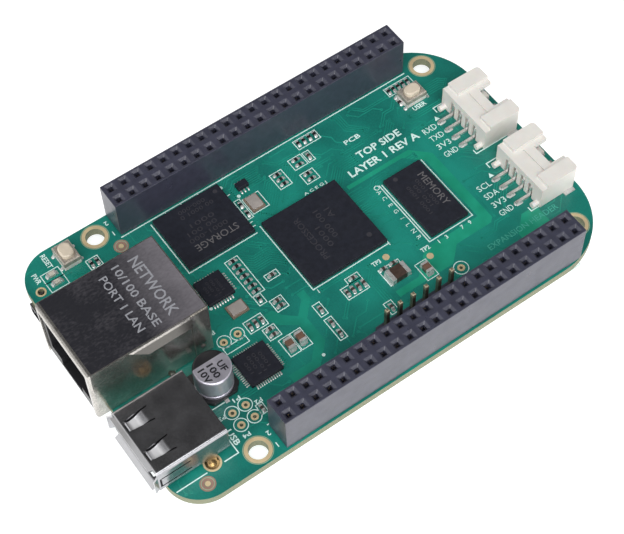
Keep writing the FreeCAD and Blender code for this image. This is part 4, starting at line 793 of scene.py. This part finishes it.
def copper_pours():
    """Broad power areas that shine paler through the mask."""
    strong, faint = Layer(0.0, POUR_RISE), Layer(0.0, POUR_RISE)
    outlines = [
        [(48.7, 12.2), (59.6, 12.2), (62.4, 14.9), (69.7, 14.9), (70.5, 15.7), (70.5, 32.0),
         (67.5, 35.0), (54.4, 35.0), (54.4, 34.2), (65.6, 34.2), (68.6, 31.4), (68.6, 17.2),
         (57.5, 17.2), (53.4, 13.5), (48.7, 13.5)],
        [(25.8, 9.4), (30.8, 9.4), (34.2, 12.8), (34.2, 17.9), (36.8, 20.5), (36.8, 22.6),
         (35.4, 22.6), (35.4, 21.2), (33.2, 19.0), (31.2, 20.8), (30.4, 22.4), (28.4, 22.4),
         (29.6, 19.6), (32.4, 17.6), (32.4, 13.4), (30.2, 11.0), (25.8, 11.0)],
        [(71.9, 9.0), (77.8, 9.0), (77.8, 13.2), (74.8, 13.2), (71.9, 10.4)],
    ]
    for layer, outline in zip((strong, faint, strong), outlines):
        layer.plate([Vector((x, near_edge(y))) for x, y in outline])
    strong.build("copper_pours", "masked_pour", "solder_mask")
    faint.build("copper_pour_faint", "masked_pour_faint", "solder_mask")


# Areas, measured from the near edge, that the tracks keep clear so that the pours stay whole.
CLEAR = [
    (54.2, 34.0, 70.7, 35.2), (68.4, 15.5, 70.7, 35.2), (48.5, 12.0, 62.6, 17.4),
    (62.0, 14.7, 70.0, 17.4), (25.6, 9.2, 31.0, 11.2), (30.0, 10.6, 34.4, 18.2),
    (28.2, 17.6, 37.0, 22.8), (71.7, 8.8, 78.0, 13.4),
]
copper_pours()
copper_face(1, "top", 11, 5200,
            [(x0, near_edge(y0), x1, near_edge(y1)) for x0, y0, x1, y1 in CLEAR])
copper_face(-1, "bottom", 23, 4200, [])


# ---- silkscreen

INK = 0.2
FINE = 0.15
INK_LOW, INK_HIGH = 0.03, 0.05
BACK, DOWN = math.pi, -math.pi / 2

# Printed frames round groups of small parts: x from, y from, x to, y to, with y from the near edge.
FRAMES = [
    (10.8, 46.1, 13.0, 48.2), (37.2, 39.2, 38.3, 43.6), (38.6, 39.6, 41.8, 43.1),
    (45.1, 41.0, 47.5, 44.5), (49.4, 42.8, 52.0, 45.2), (52.3, 42.8, 53.6, 45.1),
    (49.4, 39.2, 52.0, 41.6), (52.4, 46.0, 57.0, 48.0), (71.9, 46.0, 77.3, 47.9),
    (29.2, 26.3, 31.7, 34.4), (29.3, 24.2, 30.7, 26.2), (33.0, 27.2, 35.4, 28.5),
    (31.0, 21.5, 33.2, 24.0), (25.2, 20.7, 28.6, 23.1), (20.0, 19.8, 24.3, 21.0),
    (27.0, 17.8, 29.2, 20.2), (28.0, 13.5, 30.0, 17.1), (30.2, 13.5, 32.2, 17.1),
    (36.1, 16.6, 37.5, 19.2), (36.1, 11.3, 37.5, 15.9), (41.6, 16.6, 45.8, 19.0),
    (43.3, 19.0, 45.8, 20.2), (48.7, 14.7, 52.7, 18.3), (54.2, 12.0, 56.4, 15.6),
    (45.6, 10.3, 47.1, 12.7), (18.5, 7.8, 19.7, 9.7), (3.3, 46.2, 6.6, 48.2),
    (3.3, 48.2, 6.6, 50.1),
]
# Printed lines, each a list of points.
LINES = [
    [(23.45, 48.0), (23.45, 36.15), (37.0, 36.15)],
    [(38.05, 37.0), (38.05, 21.6), (53.4, 21.6), (53.4, 22.1)],
    [(59.0, 31.9), (59.0, 17.85), (68.05, 17.85), (68.05, 32.0)], [(59.45, 31.7), (59.45, 18.2)],
    [(22.2, 45.9), (22.2, 41.2)], [(22.2, 40.6), (22.2, 34.6)], [(22.2, 34.0), (22.2, 30.2)],
    [(0.6, 22.65), (14.2, 22.65)], [(0.6, 4.55), (6.2, 4.55)],
    [(9.3, 4.55), (11.9, 4.55), (11.9, 8.3)], [(76.5, 28.3), (76.5, 27.4), (85.2, 27.4)],
    [(76.5, 38.4), (76.5, 39.55), (82.0, 39.55)], [(76.5, 13.6), (76.5, 12.7), (85.2, 12.7)],
    [(76.5, 23.7), (76.5, 24.75), (82.0, 24.75)], [(72.4, 42.6), (77.7, 42.6)],
]
LINES += [[(37.05, y), (37.6, y)] for y in (45.3, 38.5, 37.6)]
LINES += [[(x, 48.2), (x, 48.7)] for x in (26.7, 29.8, 33.2)]
LINES += [[(11.9, y), (15.0, y)] for y in (13.0, 20.1)]
# Small printed words: text, x, y from the near edge, height, width and, unless it is along x,
# direction.
WORDS = [
    ("RESET", 5.6, 52.0, 0.95, 3.0, DOWN), ("USER", 74.9, 41.4, 0.95, 2.7),
    ("PWR", 2.5, 49.95, 0.9, 2.1, DOWN), ("USB", 12.7, 7.2, 1.05, 2.9, DOWN),
    ("TOP SIDE", 64.2, 39.0, 1.5, 9.0), ("LAYER 1 REV A", 63.6, 36.6, 1.5, 14.6),
    ("PCB", 61.1, 42.5, 0.95, 3.2), ("TP3", 49.4, 19.7, 0.85, 1.7),
    ("TP2", 57.6, 17.2, 0.85, 1.7), ("P1", 16.8, 12.4, 0.75, 1.3, BACK),
    ("P2", 19.4, 10.1, 0.75, 1.3, BACK), ("P3", 13.1, 10.9, 0.75, 1.3, BACK),
    ("P4", 14.6, 6.3, 0.75, 1.3, BACK), ("P5", 20.0, 24.5, 0.75, 1.3, BACK),
    ("1", 17.5, 2.2, 0.9, None, BACK), ("2", 17.5, 4.6, 0.9, None, BACK),
    ("1", 17.5, 50.2, 0.9, None, BACK), ("2", 17.5, 52.6, 0.9, None, BACK),
    ("A C E G J", 50.0, 37.75, 0.75, 4.6), ("1", 38.6, 20.9, 0.75),
    ("1", 60.3, 17.0, 0.8), ("3", 61.9, 17.0, 0.8),
    ("7", 65.2, 17.0, 0.8), ("9", 66.8, 17.0, 0.8),
]
BOTTOM_WORDS = [
    ("BOTTOM SIDE", 40.0, 8.0, 1.7, 14.0), ("LAYER 4 REV A", 40.0, 5.2, 1.3, 13.0),
    ("5V DC", 8.8, 14.4, 1.2, 4.6), ("MICRO SD", 67.0, 0.0, 1.2, 6.6),
]
SOCKET_SIGNALS = {
    "uart_socket_contacts": ("RXD", "TXD", "3V3", "GND"),
    "i2c_socket_contacts": ("SCL", "SDA", "3V3", "GND"),
}
# Letters of the memory chip's ball rows, then printed rings and dots: x, y, radius.
BALL_ROWS = [
    (30.7, "A"), (29.2, "C"), (27.5, "E"), (26.0, "G"), (24.3, "J"), (22.6, "L"), (21.1, "N"),
    (19.6, "R"),
]
RINGS = [
    (20.9, 22.05, 1.15), (23.45, 22.05, 1.15), (14.87, 10.8, 1.15), (17.35, 10.8, 1.15),
    (17.4, 8.25, 1.15), (14.87, 8.25, 1.15), (60.1, 10.8, 1.25), (58.4, 31.7, 0.42),
]
DOTS = [
    (37.06, 47.3, 0.32), (38.6, 44.1, 0.33), (32.4, 10.8, 0.3), (22.6, 28.4, 0.3),
    (53.4, 21.3, 0.12),
]


def silkscreen_top():
    ink = Layer(INK_LOW, INK_HIGH)
    for x0, y0, x1, y1 in FRAMES:
        ink.frame(x0, near_edge(y0), x1, near_edge(y1), FINE)
    for points in LINES:
        ink.line([(x, near_edge(y)) for x, y in points], INK)
    for text, x, y, *values in WORDS:
        ink.letters(text, x, near_edge(y), *values, weight=0.022)
    for y, letter in BALL_ROWS:
        ink.letters(letter, 58.2, near_edge(y), 0.8, None, DOWN)
    for x, y, radius in RINGS:
        ink.ring(x, near_edge(y), radius, FINE)
    for x, y, radius in DOTS:
        ink.disc(x, near_edge(y), radius, 12)
    for node in HOUSINGS:
        low, high = box(node)
        inner = high.y + 0.22 if high.y < 0 else low.y - 0.22
        ink.line([(low.x - 0.2, inner), (high.x + 0.2, inner)], INK)
    for node, labels in SOCKET_SIGNALS.items():
        leads = sorted(islands(node), key=lambda b: -b[0].y)
        for (low, high), label in zip(leads, labels):
            ink.letters(label, low.x - 1.95, (low.y + high.y) / 2, 1.15, 2.75)
        first = leads[0][0].xy
        ink.plate([first + Vector(p) for p in ((-0.1, 1.0), (0.9, 1.0), (0.4, 1.9))])
    ink.build("silkscreen_top", "silkscreen", "solder_mask")
    faint = Layer(0.02, 0.035)
    faint.letters("EXPANSION HEADER", 73.4, near_edge(11.1), 1.1, 14.5)
    faint.build("silkscreen_faint", "silkscreen_faint", "solder_mask")


def silkscreen_bottom():
    ink = Layer(-THICKNESS - INK_HIGH, -THICKNESS - INK_LOW)
    for node in (*HOUSINGS, "debug_header_base"):
        low, high = box(node)
        ink.frame(*grown(low, high, 0.14), INK)
        middle = (low.y + high.y) / 2
        for text, y in (("1", middle - 1.3), ("2", middle + 1.3)):
            ink.letters(text, low.x - 1.1, y, 1.1, mirrored=True)
    for node in ("micro_usb_shell", "microsd_shell"):
        low, high = box(node)
        ink.frame(max(low.x, 0.4) - 0.2, low.y - 0.3,
                  min(high.x, LENGTH - 0.6) + 0.3, high.y + 0.3, INK)
    for values in BOTTOM_WORDS:
        ink.letters(*values, mirrored=True)
    for side in (-1, 1):
        ink.ring(LENGTH / 2 - 12, side * 12, 1.0, FINE)
    ink.build("silkscreen_bottom", "silkscreen", "solder_mask")


silkscreen_top()
silkscreen_bottom()


SIGHTING_MARKS = [(17.2, near_edge(47.3)), (5.25, near_edge(3.0))]


def bare_rings():
    """Bare laminate round the two sighting marks, and pale rims where the mask ends."""
    bare, rims = Layer(0.0, POUR_RISE), Layer(0.0, TRACK_RISE)
    for x, y in SIGHTING_MARKS:
        bare.ring(x, y, 0.9, 0.79)
        rims.ring(x, y, 1.02, 0.12)
    bare.build("bare_rings", "bare_laminate", "solder_mask")
    for x, y in HOLES:
        rims.ring(x, y, 2.38, 0.12, 48)
    rims.build("mask_rims", "mask_rim", "solder_mask")


bare_rings()


# ---- labels on the parts

FILM_RISE = 0.02
LABEL_RISE = 0.01
MARK_RISE = 0.006


def network_label():
    """Dark film on top of the network socket, with plain lettering."""
    low, high = level_top("ethernet_shield")
    face = high.z + FILM_RISE
    sheet = Layer(high.z, face)
    sheet.plate(rectangle(low.x + 0.3, low.y + 0.14, high.x - 0.2, high.y - 0.14))
    sheet.build("network_label", "printed_film", "printed_film")
    words = Layer(face, face + LABEL_RISE)
    for text, x, height, width in (("NETWORK", 14.2, 1.95, 12.2), ("10/100 BASE", 11.1, 1.4, 12.8),
                                   ("PORT 1 LAN", 8.5, 1.4, 11.6)):
        words.letters(text, x, (low.y + high.y) / 2, height, width, DOWN, weight=0.012)
    words.build("network_label_print", "film_print", "printed_film")


def capacitor_print():
    low, high = box("capacitor_can")
    middle = (low.y + high.y) / 2 - 0.75
    ink = Layer(high.z, high.z + LABEL_RISE)
    for text, x, width in (("UF", 16.85, 1.9), ("100", 15.3, 2.7), ("10V", 13.7, 2.7)):
        ink.letters(text, x, middle, 1.2, width, DOWN, weight=0.03)
    ink.build("capacitor_print", "black_print", "can_aluminium")


# Lettering on the larger chips: its direction, then text, place from the chip's centre, height
# and width.
CHIP_WORDS = {
    "processor_chip": (-DOWN, [
        ("PROCESSOR", -2.6, 0.0, 1.15, 9.4), ("0001", -0.6, -1.0, 1.0, 4.4),
        ("000 001", 1.0, 1.0, 1.0, 6.2), ("A1", 2.8, 2.4, 1.1, 2.0),
    ]),
    "flash_chip": (BACK, [
        ("STORAGE", 0.6, -3.3, 1.35, 8.2), ("0001-000", 0.0, -1.6, 0.9, 7.4),
        ("00 001", -0.4, -0.3, 0.9, 5.6), ("0001", 0.4, 1.0, 0.9, 4.6),
        ("00 0001 0", 0.8, 3.2, 0.8, 6.4), ("000-000", 0.4, 4.3, 0.8, 5.2),
    ]),
    "memory_chip": (DOWN, [
        ("MEMORY", 2.2, 0.5, 1.35, 7.6), ("0001-000", 0.8, 0.6, 0.7, 6.2),
        ("00 001", -0.2, 0.4, 0.7, 5.0), ("0001 0001", -1.3, 0.0, 0.7, 6.6),
    ]),
}
BRIGHT_WORDS = {"STORAGE", "MEMORY"}
FIRST_PINS = {
    "processor_chip": (51.35, 24.3, 0.45), "flash_chip": (35.5, 46.6, 0.4),
    "memory_chip": (61.5, 30.6, 0.42),
}


def chip_marks():
    """Moulded-in first pin marks and plain lettering on the larger chips."""
    for node, (turn, rows) in CHIP_WORDS.items():
        spot = centre(node)
        top = box(node)[1].z
        strong, weak = Layer(top, top + MARK_RISE), Layer(top, top + MARK_RISE)
        for text, dx, dy, height, width in rows:
            layer = strong if text in BRIGHT_WORDS else weak
            layer.letters(text, spot.x + dx, spot.y + dy, height, width, turn)
        if strong.points:
            strong.build(f"{node}_name", "chip_print", "chip_mould")
        weak.build(f"{node}_text", "chip_print_faint", "chip_mould")
    dots = Layer(0, 0)
    for node, (x, y, radius) in FIRST_PINS.items():
        dots.low = box(node)[1].z
        dots.high = dots.low + MARK_RISE
        dots.disc(x, near_edge(y), radius)
    for node in ("network_chip", "power_chip"):
        low, high = box(node)
        dots.low, dots.high = high.z, high.z + MARK_RISE
        middle = (low.y + high.y) / 2
        size = (high.x - low.x) / 8
        for row, text in enumerate(("0001", "00-01", "000 1", "001")):
            x = high.x - size * (2.3 + 1.3 * row)
            dots.letters(text, x, middle, size * 0.8, size * len(text), DOWN)
    dots.build("chip_dots", "chip_print_faint", "chip_mould")


network_label()
capacitor_print()
chip_marks()


# ---- solder

PASSIVES = ("ceramic_capacitors", "chip_resistors", "status_lights", "power_inductor")
BUTTON_LEGS = 1.45
# Half width and half length of the foot of a cable socket's lead.
LEAD_HALF, FOOT_HALF = 0.25, 0.65


def slope(lumps, low, high, hub, height, reach):
    """A concave slope of solder, from the face of a box that looks away from hub, down."""
    middle = (low + high) / 2
    away = middle - hub
    flat = Vector((away.x, 0)) if abs(away.x) > abs(away.y) else Vector((0, away.y))
    along = flat.normalized()
    across = Vector((-along.y, along.x))
    size = high - low
    depth, half = (size.x / 2, size.y / 2) if along.x else (size.y / 2, size.x / 2)
    root = Vector((middle.x, middle.y)) + along * (depth - 0.03)
    rows = []
    for out in (0.0, 0.25, 0.5, 0.75, 1.0):
        row = []
        for side in (-1.0, -0.5, 0.0, 0.5, 1.0):
            spot = root + along * (reach * out * (1 - 0.2 * side ** 2))
            spot += across * (side * half * (1.08 - 0.12 * out))
            rise = height * (1 - out) ** 1.8 * (1 - 0.3 * side ** 2) + 0.02
            row.append((spot.x, spot.y, rise))
        rows.append(row)
    lumps.heap(rows, 0.0)


def end_solder():
    """Solder on the ends of the small chips, chip leads, button legs and cable socket leads."""
    lumps = Shape()
    passives = [(low + high) / 2 for node in PASSIVES for low, high in islands(node)]
    chips = [centre(node) for node in ("network_chip", "power_chip", "logic_chip")]
    for ends, hubs in (("chip_terminals", passives), ("chip_leads", chips)):
        for low, high in islands(ends):
            hub = min(hubs, key=lambda h: (h - (low + high) / 2).length)
            rise, reach = (0.2, 0.3) if hubs is chips else (high.z * 0.92, 0.38)
            slope(lumps, low, high, hub, rise, reach)
    for node in ("reset_button_base", "user_button_base"):
        low, high = box(node)
        hub = (low + high) / 2
        for sign in (-1, 1):
            for edge in (low, high):
                spot = Vector((edge.x, hub.y + sign * BUTTON_LEGS, 0))
                half = Vector((0.1, 0.3, 0.2))
                slope(lumps, spot - half, spot + half, Vector((hub.x, spot.y, 0)), 0.7, 0.55)
    for node in SOCKET_SIGNALS:
        for low, high in islands(node):
            foot = Vector((low.x + FOOT_HALF, (low.y + high.y) / 2, 0.15))
            half = Vector((FOOT_HALF, LEAD_HALF, 0.15))
            ends = foot - half, foot + half
            slope(lumps, *ends, Vector((high.x, foot.y, 0)), 0.3, 0.25)
            for sign in (-1, 1):
                slope(lumps, *ends, Vector((foot.x, foot.y + sign, 0)), 0.35, 0.3)
    lumps.build("end_solder", "solder", "solder", smooth=50)


# Pins and legs that stick out of the underside: radius of their solder, and how far their middle
# lies from the far end of a bent contact.
THROUGH = {
    "near_header_contacts": (0.85, None), "far_header_contacts": (0.85, None),
    "debug_header_pins": (0.85, None), "ethernet_contacts": (0.5, 0.2), "usb_contacts": (0.5, 0.2),
}
PIN_CONE = [(1.0, 0.05), (1.0, -0.05), (0.72, -0.3), (0.52, -0.65), (0.42, -1.0)]
LEG_CONE = [(1.0, 0.0), (1.0, -0.08), (0.75, -0.25), (0.45, -0.6)]
LEG_DISH = [(1.2, -0.5), (1.2, 0.06), (1.0, 0.0), (0.75, -0.12), (0.45, 0.0), (0.25, 0.25)]


def pin_cones():
    """Solder cones round the pins and legs that stick out of the underside."""
    lumps = Shape()
    face = -THICKNESS
    for node, (radius, back) in THROUGH.items():
        for low, high in islands(node):
            if low.z < face - 0.6:
                x = high.x - back if back else (low.x + high.x) / 2
                profile = [(radius * share, face + z) for share, z in PIN_CONE]
                lumps.turned(x, (low.y + high.y) / 2, profile, 14)
    for low, high in leg_pads(-1):
        radius = (high.x - low.x) / 2 - 0.12
        profile = [(radius * share, face + z) for share, z in LEG_CONE]
        lumps.turned((low.x + high.x) / 2, (low.y + high.y) / 2, profile, 20)
    lumps.build("pin_solder", "solder", "solder", smooth=60)


def leg_pads(side):
    """Lands round the solder legs of the port shells."""
    return [(low, high) for low, high in pads_on(side)
            if 1.7 < high.x - low.x < 3.2 and high.x < 9.5]


def leg_cups():
    """Dished solder round the legs of the large port's shell, coloured gold as a painted reflection
    of the plated wall.
    """
    cups = Shape()
    for low, high in leg_pads(1):
        if high.x - low.x > 2.5:
            cups.turned((low.x + high.x) / 2, (low.y + high.y) / 2, LEG_DISH, 24)
    cups.build("leg_cups", "painted_gold_reflection", "solder", smooth=60)


end_solder()
pin_cones()
leg_cups()


# ---- stage, light and camera

AZIMUTH, ELEVATION, ROLL = math.radians(-33.55), math.radians(57.87), math.radians(-2.15)
DISTANCE = 261.7 * MM
TARGET = Vector((-1.5, -2.0, 4.2)) * MM
LENS = 91.97
FLOOR_HALF = 3.0
# Where the dim patch of the sky is, how wide it is, and how bright the sky is outside and in it.
DIM_PATCH = (0.29, 0.44, 0.85)
SKY = {"From Min": 0.55, "From Max": 0.97, "To Min": 0.66, "To Max": 0.09}


def direction(azimuth, elevation):
    """From the object outwards: azimuth 0 is the near side, 90 the cable socket end."""
    return Vector((math.sin(azimuth) * math.cos(elevation),
                   -math.cos(azimuth) * math.cos(elevation), math.sin(elevation)))


def camera():
    data = bpy.data.cameras.new("camera")
    data.lens = LENS
    data.clip_start, data.clip_end = 0.01, 10
    obj = added("camera", data)
    back = direction(AZIMUTH, ELEVATION)
    facing = (-back).to_track_quat("-Z", "Y").to_matrix().to_4x4()
    obj.matrix_world = (Matrix.Translation(TARGET + back * DISTANCE)
                        @ facing @ Matrix.Rotation(ROLL, 4, "Z"))
    bpy.context.scene.camera = obj


def floor():
    mesh = bpy.data.meshes.new("floor")
    corners = rectangle(-FLOOR_HALF, -FLOOR_HALF, FLOOR_HALF, FLOOR_HALF)
    mesh.from_pydata([(p.x, p.y, 0) for p in corners], [], [(0, 1, 2, 3)])
    obj = added("floor", mesh)
    glow = {"Emission Color": (1.0, 1.0, 1.0, 1.0), "Emission Strength": 0.7}
    paint = Paint("floor", (0.6, 0.6, 0.6, 1.0), 0.9, **glow)
    paint.shade(paint.noise(120.0), 0.3, 0.7, (0.59, 0.59, 0.59, 1.0), (0.61, 0.61, 0.61, 1.0))
    mesh.materials.append(paint.material)


def area_light(name, azimuth, elevation, distance, size, power):
    data = bpy.data.lights.new(name, "AREA")
    data.size = size
    data.energy = power
    obj = added(name, data)
    away = direction(math.radians(azimuth), math.radians(elevation))
    obj.location = away * distance
    obj.rotation_mode = "QUATERNION"
    obj.rotation_quaternion = away.to_track_quat("Z", "Y")


def sky():
    """A pale studio with a dim patch overhead, which level metal mirrors as a dark grey."""
    world = bpy.data.worlds.new("studio")
    world.use_nodes = True
    bpy.context.scene.world = world
    tree = world.node_tree
    where = tree.nodes.new("ShaderNodeTexCoord")
    dot = tree.nodes.new("ShaderNodeVectorMath")
    dot.operation = "DOT_PRODUCT"
    dot.inputs[1].default_value = DIM_PATCH
    span = tree.nodes.new("ShaderNodeMapRange")
    span.interpolation_type = "SMOOTHSTEP"
    for name, value in SKY.items():
        span.inputs[name].default_value = value
    tree.links.new(where.outputs["Generated"], dot.inputs[0])
    tree.links.new(dot.outputs["Value"], span.inputs["Value"])
    background = tree.nodes["Background"]
    background.inputs["Color"].default_value = (1.0, 1.0, 1.0, 1.0)
    tree.links.new(span.outputs["Result"], background.inputs["Strength"])


camera()
floor()
sky()
area_light("key_light", -25, 58, 1.0, 0.7, 5.5)
area_light("front_light", -5, 18, 0.9, 0.5, 1.5)
area_light("left_light", -80, 30, 0.9, 0.5, 2.4)
bpy.context.scene.view_settings.view_transform = "Standard"
